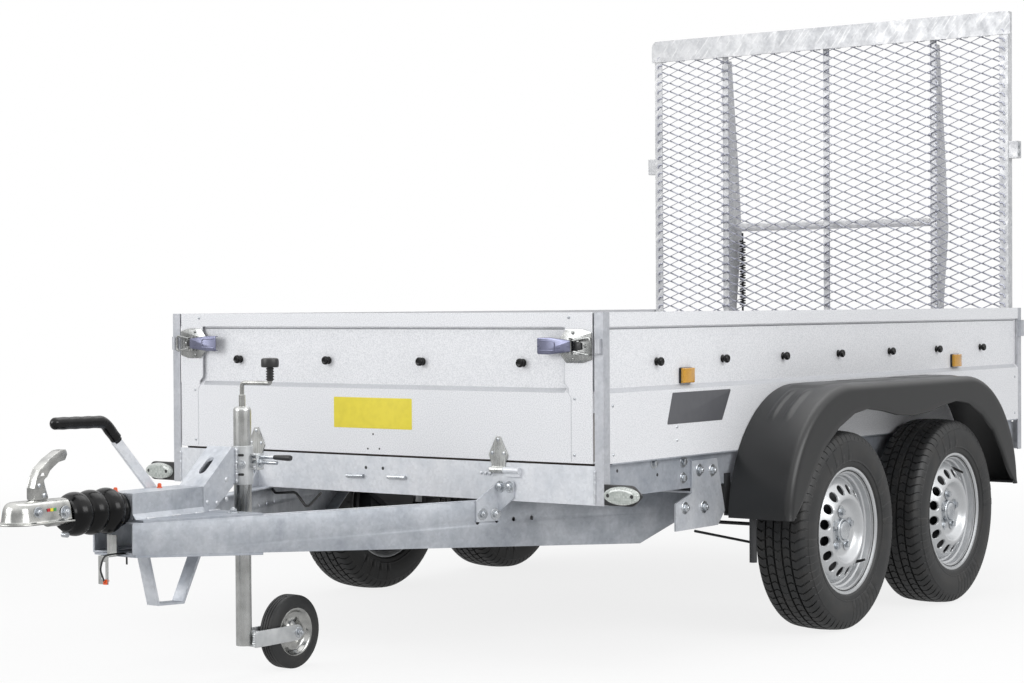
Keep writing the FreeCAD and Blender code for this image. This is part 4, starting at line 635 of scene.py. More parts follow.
def rounded(points: Sequence[Point], radius: float | Sequence[float], steps: int = 5) -> list[Point]:
    """Rounds the corners of a closed outline.

    Args:
        points: Corners in order.
        radius: One radius, or one for each corner.
        steps: Pieces in each arc.

    Returns:
        The outline's points with arcs for corners.
    """
    radii = [radius] * len(points) if isinstance(radius, (int, float)) else list(radius)
    outline: list[Point] = []
    for index, point in enumerate(points):
        corner = Vector(point)
        before = Vector(points[index - 1]) - corner
        after = Vector(points[(index + 1) % len(points)]) - corner
        half = before.angle(after) / 2
        if radii[index] <= 0 or half > math.pi / 2 - 0.02:
            outline.append((corner.x, corner.y))
            continue
        reach = min(radii[index] / math.tan(half), before.length * 0.49, after.length * 0.49)
        bend = reach * math.tan(half)
        middle = corner + (before.normalized() + after.normalized()).normalized() * (bend / math.sin(half))
        first = corner + before.normalized() * reach - middle
        turn = first.angle_signed(corner + after.normalized() * reach - middle)
        for step in range(steps + 1):
            outline.append(tuple(middle + Matrix.Rotation(-turn * step / steps, 2) @ first))
    return outline


def oval(width: float, height: float, steps: int = 28) -> list[Point]:
    """Returns an ellipse round zero."""
    return [(width / 2 * math.cos(FULL_TURN * i / steps), height / 2 * math.sin(FULL_TURN * i / steps))
            for i in range(steps)]


def shifted(outline: Sequence[Point], x: float, y: float) -> list[Point]:
    """Returns an outline moved by x and y."""
    return [(u + x, v + y) for u, v in outline]


def slot_hole(length: float, width: float) -> list[Point]:
    """Returns a slot with round ends, round zero."""
    return rounded(box_outline((-length / 2, -width / 2), (length / 2, width / 2)), width * 0.49)


def box_outline(low: Point, high: Point) -> list[Point]:
    """Returns the four corners of an upright rectangle."""
    return [low, (high[0], low[1]), high, (low[0], high[1])]


def plate(outline: Sequence[Point], depth: float, holes: Sequence[Sequence[Point]] = (),
          edge: float = 0.6) -> Shape:
    """Makes a flat plate with holes and softened edges.

    Args:
        outline: Outer outline.
        depth: Thickness, from 0 along the third axis.
        holes: Outlines of the holes.
        edge: Radius of the softened edges.

    Returns:
        The plate's shape.
    """
    edge = min(edge, depth * 0.45)
    curve = bpy.data.curves.new("plate", "CURVE")
    curve.dimensions = "2D"
    curve.fill_mode = "BOTH"
    curve.extrude = depth / 2 - edge
    curve.bevel_depth = edge
    curve.offset = -edge
    curve.bevel_resolution = 1
    for ring in [outline, *holes]:
        spline = curve.splines.new("POLY")
        spline.points.add(len(ring) - 1)
        for target, (u, v) in zip(spline.points, ring):
            target.co = (u, v, 0, 1)
        spline.use_cyclic_u = True
    item = bpy.data.objects.new("plate", curve)
    bpy.context.scene.collection.objects.link(item)
    mesh = bpy.data.meshes.new_from_object(item.evaluated_get(bpy.context.evaluated_depsgraph_get()))
    shape = Shape([vertex.co + Vector((0, 0, depth / 2)) for vertex in mesh.vertices],
                  [tuple(face.vertices) for face in mesh.polygons])
    bpy.data.objects.remove(item)
    bpy.data.curves.remove(curve)
    bpy.data.meshes.remove(mesh)
    return shape


def block(low: Place, high: Place, edge: float = 0.8) -> Shape:
    """Makes an upright block with softened edges between two corners."""
    return plate(box_outline(low[:2], high[:2]), high[2] - low[2], edge=edge).at(0, 0, low[2])


def turned(profile: Sequence[Point], steps: int = 48) -> Shape:
    """Turns a profile of (radius, height) round the third axis, closed only where its radius is zero.

    Args:
        profile: Radius and height of each row.
        steps: Points in each row.

    Returns:
        The turned shape.
    """
    turns = [FULL_TURN * step / steps for step in range(steps)]
    return Shape([Vector((radius * math.cos(turn), radius * math.sin(turn), height))
                  for radius, height in profile for turn in turns], grid(len(profile), steps))


def lofted(rings: Sequence[Sequence[Vector]], closed: bool = True) -> Shape:
    """Joins rings of equal length into a skin, with flat ends where it is closed.

    Args:
        rings: Rings of points.
        closed: Whether the ends are filled.

    Returns:
        The skin.
    """
    count = len(rings[0])
    shape = Shape([point.copy() for ring in rings for point in ring], grid(len(rings), count))
    if closed:
        last = (len(rings) - 1) * count
        shape.faces += [tuple(range(count - 1, -1, -1)), tuple(range(last, last + count))]
    return shape


def bent(route: Sequence[Place], radius: float, steps: int = 8) -> list[Vector]:
    """Rounds the corners of an open route in space.

    Args:
        route: Corners of the route.
        radius: Radius of its bends.
        steps: Pieces in each bend.

    Returns:
        Points along the rounded route.
    """
    points = [Vector(route[0])]
    for before, corner, after in zip(route, route[1:], route[2:]):
        middle = Vector(corner)
        back, ahead = Vector(before) - middle, Vector(after) - middle
        reach = min(radius / math.tan(back.angle(ahead) / 2), back.length * 0.49, ahead.length * 0.49)
        first, last = middle + back.normalized() * reach, middle + ahead.normalized() * reach
        for step in range(steps + 1):
            share = step / steps
            points.append(first.lerp(middle, share).lerp(middle.lerp(last, share), share))
    return [*points, Vector(route[-1])]


def swept(path: Sequence[Vector], section: Callable[[float], Sequence[Point]], up: Place = (0, 0, 1)) -> Shape:
    """Carries a section along a path.

    Args:
        path: Points of the path.
        section: Gives the section's outline at a share of the path's length.
        up: Direction that the section's second axis starts near.

    Returns:
        The swept body with flat ends.
    """
    lengths = [0.0]
    for before, after in zip(path, path[1:]):
        lengths.append(lengths[-1] + (after - before).length)
    guide = Vector(up)
    rings = []
    for index, point in enumerate(path):
        ahead = (path[min(index + 1, len(path) - 1)] - path[max(index - 1, 0)]).normalized()
        across = ahead.cross(guide).normalized()
        guide = across.cross(ahead).normalized()
        rings.append([point + across * u + guide * v for u, v in section(lengths[index] / lengths[-1])])
    return lofted(rings)


def dense(path: Sequence[Vector], pitch: float) -> list[Vector]:
    """Returns the path with points added, so that none lie farther apart than pitch.

    Args:
        path: Points of the path.
        pitch: Longest step.

    Returns:
        The path with its new points.
    """
    points = [path[0]]
    for before, after in zip(path, path[1:]):
        count = max(1, math.ceil((after - before).length / pitch))
        points += [before.lerp(after, step / count) for step in range(1, count + 1)]
    return points


def tube(path: Sequence[Vector], radius: float, sides: int = 16, up: Place = (0, 0, 1)) -> Shape:
    """Makes a round bar along a path."""
    ring = oval(radius * 2, radius * 2, sides)
    return swept(path, lambda share: ring, up)


def bar(start: Place, end: Place, radius: float, sides: int = 24, edge: float = 0.8) -> Shape:
    """Makes a round bar with softened ends between two places.

    Args:
        start: Middle of one end.
        end: Middle of the other end.
        radius: Radius of the bar.
        sides: Sides of its section.
        edge: Size of the softened ends.

    Returns:
        The bar.
    """
    line = Vector(end) - Vector(start)
    length = line.length
    profile = [(0.0, 0.0), (radius - edge, 0.0), (radius, edge), (radius, length - edge),
               (radius - edge, length), (0.0, length)]
    turn = line.to_track_quat("Z", "Y").to_matrix().to_4x4()
    return turned(profile, sides).moved(Matrix.Translation(start) @ turn)


def strap(route: Sequence[Point], thick: float, bend: float) -> list[Point]:
    """Outlines a strip of even thickness that follows a route of its middle line, with bends of a radius.

    Args:
        route: Corners of the middle line.
        thick: Thickness of the strip.
        bend: Radius of its bends.

    Returns:
        The closed outline.
    """
    line = bent([(u, v, 0.0) for u, v in route], bend, 6)
    left: list[Point] = []
    right: list[Point] = []
    for index, point in enumerate(line):
        ahead = (line[min(index + 1, len(line) - 1)] - line[max(index - 1, 0)]).normalized()
        normal = Vector((-ahead.y, ahead.x, 0)) * thick / 2
        left.append((point.x + normal.x, point.y + normal.y))
        right.append((point.x - normal.x, point.y - normal.y))
    return left + right[::-1]


def bolt(matrix: Matrix, flats: float = 17.0, height: float = 9.0, washer: float = 1.6, stud: float = 0.0) -> Shape:
    """Makes a hexagon head or nut on a washer, with its stud's end where it has one.

    Args:
        matrix: Place of the seat, with the third axis outwards.
        flats: Width across the flats.
        height: Height of the head.
        washer: Thickness of the washer.
        stud: Length of thread past the head.

    Returns:
        The fastener.
    """
    corner = flats / math.sqrt(3)
    hexagon = [(corner * math.cos(math.pi / 3 * i), corner * math.sin(math.pi / 3 * i)) for i in range(6)]
    ring = [(0.0, 0.0), (flats * 0.95, 0.0), (flats * 0.98, washer * 0.5), (flats * 0.92, washer), (0.0, washer)]
    parts = [plate(hexagon, height, edge=1.4).at(0, 0, washer), turned(ring, 24)]
    if stud > 0:
        thread, top = flats * 0.29, washer + height + stud
        parts.append(turned([(thread, 0.0), (thread, top - 1.2), (thread - 1.2, top), (0.0, top)], 16))
    return together(parts).moved(matrix)


def rivet(matrix: Matrix, radius: float = 5.0) -> Shape:
    """Makes a low domed blind rivet with the dimple of its broken pin."""
    profile = [(1.0, 0.0), (0.96, 0.2), (0.7, 0.42), (0.38, 0.5), (0.3, 0.25), (0.0, 0.25)]
    return turned([(radius * across, radius * up) for across, up in profile], 16).moved(matrix)


def weld(route: Sequence[Place], radius: float, seed: int, pitch: float = 5.0) -> Shape:
    """Makes an uneven weld bead along straight runs.

    Args:
        route: Corners of the bead.
        radius: Mean radius of the bead.
        seed: Seed for its unevenness.
        pitch: Length of one ripple.

    Returns:
        The bead.
    """
    draw = random.Random(seed)
    path: list[Vector] = []
    for start, end in zip(route, route[1:]):
        first, last = Vector(start), Vector(end)
        count = max(2, int((last - first).length / pitch * 2))
        path += [first.lerp(last, step / count) for step in range(count)]
    path.append(Vector(route[-1]))
    widths = [radius * (0.8 + 0.45 * draw.random() + 0.15 * (index % 2)) for index in range(len(path))]
    widths[0] = widths[-1] = radius * 0.3

    def section(share: float) -> list[Point]:
        """Gives the bead's outline at a share of its length."""
        width = widths[min(int(share * (len(widths) - 1) + 0.5), len(widths) - 1)]
        return oval(width * 2, width * 2, 8)

    return swept(path, section, (0.31, 0.17, 0.94))


# The workshop keeps the frame, the finishes and the way every piece is made


class Workshop:
    """Makes pieces, gives them their finish and lets them ride on the frame."""

    def __init__(self, frame: dict) -> None:
        """Keeps the frame and finds the middle of the box's front face in it.
        """
        self.frame = frame
        self.shift = Vector((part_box("front_panel")[1].x, 0, 0))
        self.materials: dict[str, bpy.types.Material] = {}

    def box(self, node: str) -> tuple[Vector, Vector]:
        """Returns a CAD node's lowest and highest corners in millimetres from the box's front face."""
        low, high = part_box(node)
        return (low - self.shift) / MM, (high - self.shift) / MM

    def material(self, finish: Finish) -> bpy.types.Material:
        """Returns the finish's material, built at its first use.

        Args:
            finish: Finish to build or find.

        Returns:
            The material.
        """
        if finish.name not in self.materials:
            self.materials[finish.name] = finish.build()
        return self.materials[finish.name]

    def dress(self, finish: Finish, *nodes: str) -> None:
        """Gives CAD nodes that stay in view their finish.

        Args:
            finish: Finish for the nodes.
            *nodes: Names of the CAD nodes.
        """
        for node in nodes:
            for slot in self.frame["nodes"][node].material_slots:
                slot.material = self.material(finish)
            LOG.info("dressed %s in %s", node, finish.name)

    def make(self, name: str, shape: Shape, finish: Finish, *replaces: str, body: str = "chassis",
             slot: Slot | None = None, sharp: float = 32.0, wall: float = 0.0) -> None:
        """Makes one piece from its shape.

        Args:
            name: Piece name.
            shape: Its mesh, in millimetres from the box's front face.
            finish: Its surface.
            *replaces: CAD nodes that it stands for.
            body: CAD body that it rides on.
            slot: Material slot of the record, where it isn't the finish's own; not used.
            sharp: Angle in degrees over which an edge stays sharp.
            wall: Thickness that an open skin gets, inwards.
        """
        mesh = bpy.data.meshes.new(name)
        mesh.from_pydata([point * MM + self.shift for point in shape.points], [], shape.faces)
        form = bmesh.new()
        form.from_mesh(mesh)
        bmesh.ops.remove_doubles(form, verts=form.verts, dist=0.02 * MM)
        bmesh.ops.recalc_face_normals(form, faces=form.faces)
        form.to_mesh(mesh)
        form.free()
        item = bpy.data.objects.new(name, mesh)
        bpy.context.scene.collection.objects.link(item)
        if wall:
            thick = item.modifiers.new("wall", "SOLIDIFY")
            thick.thickness = wall * MM
            thick.offset = -1
            item.data = bpy.data.meshes.new_from_object(item.evaluated_get(bpy.context.evaluated_depsgraph_get()))
            item.modifiers.clear()
            bpy.data.meshes.remove(mesh)
            item.data.name = name
        item.data.shade_smooth()
        item.data.set_sharp_from_angle(angle=math.radians(sharp))
        item.data.materials.clear()
        item.data.materials.append(self.material(finish))
        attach(item, body)
        if replaces:
            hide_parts(*replaces)
        LOG.info("made %s with %d faces on %s", name, len(item.data.polygons), body)


# Stage


@dataclass
class Studio:
    """Camera, lights, floor and background of the photograph; places in metres, lamp power in watts."""

    camera_place: Place = (5.71237, 4.12312, 0.99979)
    yaw: float = 0.6302601
    pitch: float = 0.016543
    roll: float = -0.0058595
    focal_px: float = 2206.709
    centre_y_px: float = 341.918
    sensor_mm: float = 36.0
    floor_radius: float = 40.0
    world_light: float = 0.66
    horizon_light: float = 0.42
    overhead_light: float = 1.7
    soft_boxes: tuple[tuple[str, Place, Place, Point, float], ...] = (
        ("side_box", (0.8, 6.2, 3.4), (0.0, 0.4, 0.7), (5.0, 2.6), 190.0),
        ("front_box", (6.4, -2.6, 2.8), (0.6, 0.0, 0.6), (4.0, 2.6), 165.0),
        ("top_box", (-0.4, 0.0, 5.2), (-0.4, 0.0, 0.0), (5.0, 3.0), 70.0))

    def link(self, name: str, data: bpy.types.ID) -> bpy.types.Object:
        """Puts new data into the scene.

        Args:
            name: Name of the object.
            data: Mesh, lamp or camera.

        Returns:
            The new object.
        """
        item = bpy.data.objects.new(name, data)
        bpy.context.scene.collection.objects.link(item)
        return item

    def camera(self) -> None:
        """Creates the camera at the photograph's place and angle."""
        data = bpy.data.cameras.new("camera")
        data.sensor_fit = "HORIZONTAL"
        data.sensor_width = self.sensor_mm
        data.lens = self.focal_px / IMAGE_WIDTH_PX * self.sensor_mm
        data.shift_y = (self.centre_y_px - IMAGE_HEIGHT_PX / 2) / IMAGE_WIDTH_PX
        ahead = Vector((-math.cos(self.yaw) * math.cos(self.pitch),
                        -math.sin(self.yaw) * math.cos(self.pitch), -math.sin(self.pitch)))
        right = ahead.cross(Vector((0, 0, 1))).normalized()
        above = right.cross(ahead)
        tilted = right * math.cos(self.roll) + above * math.sin(self.roll)
        upright = above * math.cos(self.roll) - right * math.sin(self.roll)
        item = self.link("camera", data)
        turn = Matrix((tilted, upright, -ahead)).transposed().to_4x4()
        item.matrix_world = Matrix.Translation(self.camera_place) @ turn
        bpy.context.scene.camera = item

    def lamps(self) -> None:
        """Creates the soft boxes, each with its place, aim, width and height, and power."""
        for name, place, aim, size, power in self.soft_boxes:
            data = bpy.data.lights.new(name, "AREA")
            data.shape = "RECTANGLE"
            data.size, data.size_y = size
            data.energy = power
            turn = (Vector(aim) - Vector(place)).to_track_quat("-Z", "Y").to_matrix().to_4x4()
            self.link(name, data).matrix_world = Matrix.Translation(place) @ turn

    def background(self) -> None:
        """Sets the even light, the white that the camera sees and the dimmer horizon that metal mirrors."""
        world = bpy.data.worlds.new("studio")
        bpy.context.scene.world = world
        world.use_nodes = True
        tree = world.node_tree
        tree.nodes.clear()
        path = add_node(tree, "LightPath").outputs
        seen = add_node(tree, "Math", {0: path["Is Camera Ray"], 1: path["Is Transmission Ray"]}, operation="MAXIMUM")
        above = add_node(tree, "SeparateXYZ", {"Vector": add_node(tree, "TexCoord").outputs["Generated"]})
        mirrored = add_node(tree, "MapRange", {"Value": above.outputs["Z"], "From Min": -0.05, "From Max": 0.75,
                                               "To Min": self.horizon_light, "To Max": self.overhead_light})
        lit = add_node(tree, "MapRange", {"Value": path["Is Glossy Ray"], "To Min": self.world_light,
                                          "To Max": mirrored.outputs[0]})
        strength = add_node(tree, "MapRange", {"Value": seen.outputs[0], "To Min": lit.outputs[0], "To Max": 1.0})
        light = add_node(tree, "Background", {"Color": WHITE, "Strength": strength.outputs[0]})
        add_node(tree, "OutputWorld", {"Surface": light.outputs[0]})

    def floor(self, shop: Workshop) -> None:
        """Lays the floor disc under the wheels.

        Args:
            shop: Workshop that makes the pieces.
        """
        mesh = bpy.data.meshes.new("floor")
        ring = [Vector((u, v, 0.0)) for u, v in oval(self.floor_radius * 2, self.floor_radius * 2, 64)]
        mesh.from_pydata(ring, [], [tuple(range(len(ring)))])
        mesh.materials.append(shop.material(STAGE_FLOOR))
        self.link("floor", mesh)

    def build(self, shop: Workshop) -> None:
        """Sets the whole stage.

        Args:
            shop: Workshop that makes the pieces.
        """
        bpy.context.scene.view_settings.view_transform = "Standard"
        self.camera()
        self.background()
        self.floor(shop)
        self.lamps()


# Wheels


@dataclass
class RoadWheel:
    """One road wheel: a radial van tyre on a silver steel rim with a ring of round holes."""

    corner: str
    side: Side
    tread_half: float = 68.0
    crown_drop: float = 4.5
    groove_centres: tuple[float, ...] = (41.0, 14.0, -14.0, -41.0)
    groove_width: float = 6.5
    groove_depth: float = 7.0
    groove_slope: float = 0.7
    sipe_depth: float = 4.5
    sipe_slant: float = 0.55
    pitches: int = 68
    pitch_shares: tuple[float, ...] = (0.0, 0.8, 0.84, 0.95)
    blade_rise: float = 0.9
    blade_groups: int = 4
    rim_flange: float = 195.0
    rim_half: float = 77.0
    rim_sheet: float = 3.5
    hole_ring: float = 126.0
    hole_radius: float = 15.0
    hole_count: int = 16
    hole_edge_points: int = 6
    bolt_ring: float = 56.0
    bolt_count: int = 5

    def build(self, shop: Workshop) -> None:
        """Makes the tyre and the rim with what is bolted to it.

        Args:
            shop: Workshop that makes the pieces.
        """
        tag = self.corner
        low, high = shop.box("tyre_" + tag)
        radius, half = (high.z - low.z) / 2, (high.y - low.y) / 2
        base = outward(*((low + high) / 2), self.side.value)
        drum = [(0.0, 32.0), (138.0, 32.0), (146.0, 28.0), (148.0, -56.0), (140.0, -62.0)]
        make = partial(shop.make, body="wheel_" + tag)
        make("tyre_tread_" + tag, self.tyre(radius, half).moved(base), TYRE_RUBBER, "tyre_" + tag, sharp=28)
        make("rim_barrel_" + tag, self.barrel().moved(base), RIM_SILVER, "rim_" + tag, sharp=40)
        make("rim_disc_" + tag, self.disc().moved(base), RIM_SILVER, sharp=40, wall=self.rim_sheet)
        make("brake_drum_" + tag, turned(drum, 64).moved(base), AXLE_BLACK)
        make("wheel_bolts_" + tag, self.bolts().moved(base), BOLT_ZINC)
        make("tyre_valve_" + tag, self.valve().moved(base), CABLE_RUBBER)

    def tread_columns(self, radius: float) -> list[tuple[float, float, bool]]:
        """Lists the tread's columns: place across, radius and whether sipes cut them.

        Args:
            radius: Radius of the tyre.

        Returns:
            The columns from one shoulder to the other.
        """
        columns: list[tuple[float, float, bool]] = []

        def add(across: float, drop: float = 0.0, cut: bool = True) -> None:
            """Adds a column at a place across, sunk by drop below the crown."""
            columns.append((across, radius - self.crown_drop * (across / self.tread_half) ** 2 - drop, cut))

        add(self.tread_half, 0.6)
        for centre in self.groove_centres:
            top = centre + self.groove_width / 2
            add((columns[-1][0] + top) / 2)
            add(top)
            add(top - self.groove_slope, self.groove_depth, False)
            add(top - self.groove_width + self.groove_slope, self.groove_depth, False)
            add(top - self.groove_width)
        add((columns[-1][0] - self.tread_half) / 2)
        add(-self.tread_half, 0.6)
        return columns

    def side_wall(self, radius: float, half: float) -> list[tuple[float, float, bool]]:
        """Lists a side wall's columns from the bead to the shoulder, as tread_columns does.

        Args:
            radius: Radius of the tyre.
            half: Half of its width.

        Returns:
            The columns.
        """
        bulge, rim, flange = half - 0.3, self.rim_half, self.rim_flange
        bead = ((-8, -14), (-3, -3), (1, 1), (4.5, 4), (6.5, 11), (7.2, 16), (9.4, 17), (10.2, 20), (9.6, 22))
        belly = ((-1.6, 34), (0, 50), (-0.4, 62), (-2.4, 74))
        shoulder = ((-3.2, -32, False), (-4.6, -31, False), (-8.5, -20, True), (-13.5, -12, True))
        return [*[(rim + across, flange + up, False) for across, up in bead],
                *[(bulge + across, flange + up, False) for across, up in belly],
                *[(bulge + across, radius + up, cut) for across, up, cut in shoulder],
                (self.tread_half + 4, radius - 7.2, True)]

    def tyre(self, radius: float, half: float) -> Shape:
        """Makes the tyre with ribs, slanted sipes and shoulder cuts.

        Args:
            radius: Radius of the tyre.
            half: Half of its width.

        Returns:
            The tyre round its own axis.
        """
        wall = self.side_wall(radius, half)
        columns = wall + self.tread_columns(radius) + [(-a, r, c) for a, r, c in wall[::-1]]
        phases = len(self.pitch_shares)
        angles = [(pitch + share) / self.pitches for pitch in range(self.pitches) for share in self.pitch_shares]
        wave = self.groove_centres[0] - self.groove_centres[1]
        points = []
        for across, reach, cut in columns:
            slant = abs((across / wave) % 2 - 1) * self.sipe_slant / self.pitches
            depth = self.sipe_depth * (0.45 if abs(across) < self.groove_centres[1] else 1.0)
            for index, share in enumerate(angles):
                in_sipe = index % phases > 1
                place = across
                if not cut and not in_sipe and half - 4 < abs(across):
                    spoke = (share * self.blade_groups) % 1 * self.pitches / self.blade_groups
                    if spoke < 7 and int(spoke) % 2 == 0:
                        place += math.copysign(self.blade_rise, across)
                points.append(polar(reach - depth if cut and in_sipe else reach, FULL_TURN * (share + slant), place))
        return Shape(points, grid(len(columns), len(angles)))

    def barrel(self) -> Shape:
        """Makes the rolled barrel with its two flanges, seats and well, as one closed section.

        Returns:
            The barrel round the wheel's axis.
        """
        flange, half, sheet = self.rim_flange, self.rim_half, self.rim_sheet
        face = ((-3.5, -5), (0, -3.5), (0, -1), (-2.5, 0), (-8, -1.5), (-11, -7), (-12.5, -13), (-18, -15), (-20, -30),
                (-25.5, -33), (-27.5, -45), (-33.5, -48), (-35, -84), (-22, -104), (-20.5, -140))
        outer = [(flange + up, half + across) for up, across in face]
        skin = [(radius + sheet, across - math.copysign(2.0, across)) for radius, across in outer[6:]]
        return turned([*outer, (flange - 8, 2 - half), (flange, 1 - half), (flange, 4 - half), *skin[::-1],
                       (flange - 9, half - 9.5), (flange - 6.5, half - 5.5), outer[0]], 96)

    def disc_height(self, radius: float) -> float:
        """Returns how far outwards the pressed disc lies at a radius.

        Args:
            radius: Distance from the axis.

        Returns:
            Height over the wheel's middle plane.
        """
        profile = [(0, 50), (76, 50), (82, 52.5), (88, 60), (93, 68), (97, 73.5), (101, 76), (106, 75.5), (112, 72.5),
                   (140, 54), (147, 49), (152, 44), (157, 38), (161, 30)]
        for (r_low, h_low), (r_high, h_high) in zip(profile, profile[1:]):
            if radius <= r_high:
                return h_low + (h_high - h_low) * ((radius - r_low) / (r_high - r_low))
        return profile[-1][1]

    def disc(self) -> Shape:
        """Makes the pressed disc, with a rolled lip round each hole.

        Returns:
            The disc's outer face, before it gets its wall.
        """
        count = self.hole_edge_points
        low, high = self.hole_ring - self.hole_radius - 7, self.hole_ring + self.hole_radius + 7
        sector = FULL_TURN / self.hole_count
        parts = []
        for hole in range(self.hole_count):
            middle = sector * (hole + 0.45)
            border = [(low, middle + sector * (step / count - 0.5)) for step in range(count)]
            border += [(low + (high - low) * step / count, middle + sector / 2) for step in range(count)]
            border += [(high, middle + sector * (0.5 - step / count)) for step in range(count)]
            border += [(high - (high - low) * step / count, middle - sector / 2) for step in range(count)]
            centre = polar(self.hole_ring, middle).xy
            rings = []
            for share, sunk in ((0.0, 0.0), (0.6, 0.0), (0.9, 0.0), (1.0, 1.8), (1.0, 6.0)):
                ring = []
                for radius, angle in border:
                    spot = polar(radius, angle).xy
                    flat = spot.lerp(centre + (spot - centre).normalized() * self.hole_radius, share)
                    ring.append(Vector((flat.x, flat.y, self.disc_height(flat.length) - sunk)))
                rings.append(ring)
            parts.append(lofted(rings, closed=False))
        inner = [33.0, 50.0, 76.0, 79.0, 82.0, 85.0, 88.0, 90.5, 93.0, 95.0, 97.0, 99.0, 101.0, low]
        outer = [high, 150.0, 152.0, 154.5, 157.0, 159.0, 161.0]
        for radii in (inner, outer):
            rows = [(radius, self.disc_height(radius)) for radius in radii]
            parts.append(turned(rows, self.hole_count * count).moved(Matrix.Rotation(sector * 0.95, 4, "Z")))
        return together(parts)

    def bolts(self) -> Shape:
        """Makes the wheel bolts and the stepped dust cap in their middle.

        Returns:
            The bolts and the cap round the wheel's axis.
        """
        seat = self.disc_height(0)
        parts = []
        for index in range(self.bolt_count):
            angle = FULL_TURN * (index + 0.25) / self.bolt_count
            spot = Matrix.Translation(polar(self.bolt_ring, angle, seat))
            parts += [turned([(13.0, 0.0), (10.5, 3.0), (0.0, 3.0)], 20).moved(spot),
                      bolt(spot @ Matrix.Translation((0, 0, 2.0)), 19.0, 11.0, 0.6)]
        cap = [(37.0, 40.0), (37.0, seat + 11), (35.5, seat + 13), (31.0, seat + 13), (29.0, seat + 9),
               (27.5, seat + 15), (24.0, seat + 17), (9.0, seat + 18), (0.0, seat + 18)]
        return together([*parts, turned(cap, 48)])

    def valve(self) -> Shape:
        """Makes the rubber valve that stands out of the rim.

        Returns:
            The valve in the wheel's place.
        """
        back, up = (0.7, -0.71) if self.corner.startswith("front") else (0.4, 0.91)
        start = Vector((back * self.side.value, up, 0)).normalized()
        foot = start * (self.rim_flange - 42)
        route = [tuple(foot - start * inward + Vector((0, 0, out))) for inward, out in ((0, 36), (4, 52), (16, 82))]
        return swept(bent(route, 12), lambda share: oval(10 - 2.5 * share, 10 - 2.5 * share, 14))


@dataclass
class JockeyWheel:
    """Solid-tyred jockey wheel on a pressed rim, in a forked inner tube."""

    rib_count: int = 4
    rib_gap: float = 2.6
    lobes: int = 5
    lobe_rise: float = 3.4
    rim_lip: float = 3.0
    steps: int = 60

    def build(self, shop: Workshop) -> None:
        """Makes the tyre, the pressed rim and the nuts of the axle.

        Args:
            shop: Workshop that makes the pieces.
        """
        low, high = shop.box("jockey_tyre")
        middle = (low + high) / 2
        radius, half = (high.z - low.z) / 2, (high.y - low.y) / 2
        rim_low, rim_high = shop.box("jockey_rim")
        rim = (rim_high.z - rim_low.z) / 2
        base, body = outward(*middle), "jockey_wheel"
        shop.make("jockey_tyre_ribbed", self.tyre(radius, half, rim).moved(base), TYRE_RUBBER, "jockey_tyre",
                  body=body, sharp=30)
        shop.make("jockey_rim_pressed", self.rim(half, rim).moved(base), PRESSED_ZINC, "jockey_rim",
                  body=body, sharp=40)
        reach = shop.box("jockey_inner_tube")[1].y - middle.y
        nuts = [bolt(outward(middle.x, middle.y + reach * sign, middle.z, sign), 16.0, 9.0, 2.0, 5.0)
                for sign in (-1, 1)]
        shop.make("jockey_axle_nuts", together(nuts), BOLT_ZINC, body="jockey_swivel")

    def tyre(self, radius: float, half: float, rim: float) -> Shape:
        """Makes the tyre with grooves between its ribs.

        Args:
            radius: Radius of the tyre.
            half: Half of its width.
            rim: Radius of the rim.

        Returns:
            The tyre round its own axis.
        """
        tread = half * 0.72
        profile: list[Point] = [(rim - 3, half - 5), (rim + 3, half - 1.0), (rim + 9, half - 0.2),
                                (radius - 16, half - 0.6), (radius - 8, half - 3.2), (radius - 2.4, tread + 2)]
        wall = [(reach, -across) for reach, across in profile[::-1]]
        for index in range(self.rib_count + 1):
            centre = tread - 2 * tread / self.rib_count * index
            if 0 < index < self.rib_count:
                profile += [(radius - drop, centre + self.rib_gap * share)
                            for drop, share in ((0.3, 0.5), (2.6, 0.25), (2.6, -0.25), (0.3, -0.5))]
            else:
                profile.append((radius - 0.6, centre))
        return turned(profile + wall, 72)

    def rim(self, half: float, rim: float) -> Shape:
        """Makes the rim: a rolled lip, a bowl with pressed lobes and a raised hub.

        Args:
            half: Half of the tyre's width.
            rim: Radius of the rim.

        Returns:
            The rim round its own axis.
        """
        rows = [(rim + 1.0, half - 5.0), (rim + 3.0, half - 2.0), (rim + 2.0, half + 0.6 - self.rim_lip / 2),
                (rim - 1.5, half - 1.2), (rim - 5, half - 4), (rim - 9, half - 13), (rim - 15, half - 17),
                (rim - 24, half - 17), (rim - 34, half - 14), (rim - 40, half - 8), (20.0, half - 3.5),
                (16.0, half - 2.0), (10.0, half - 1.5), (6.2, half - 1.5)]
        points = []
        for radius, height in rows:
            pressed = self.lobe_rise * max(0.0, 1 - abs(radius - (rim - 24)) / 16)
            for step in range(self.steps):
                angle = FULL_TURN * step / self.steps
                points.append(polar(radius, angle, height + pressed * (0.5 + 0.5 * math.cos(self.lobes * angle))))
        face = Shape(points, grid(len(rows), self.steps))
        barrel = turned([(rim - 3, half - 6), (rim - 5, 0.0), (rim - 3, 6 - half)], self.steps)
        return together([face, face.moved(Matrix.Scale(-1, 4, (0, 0, 1))), barrel])


# Mudguards


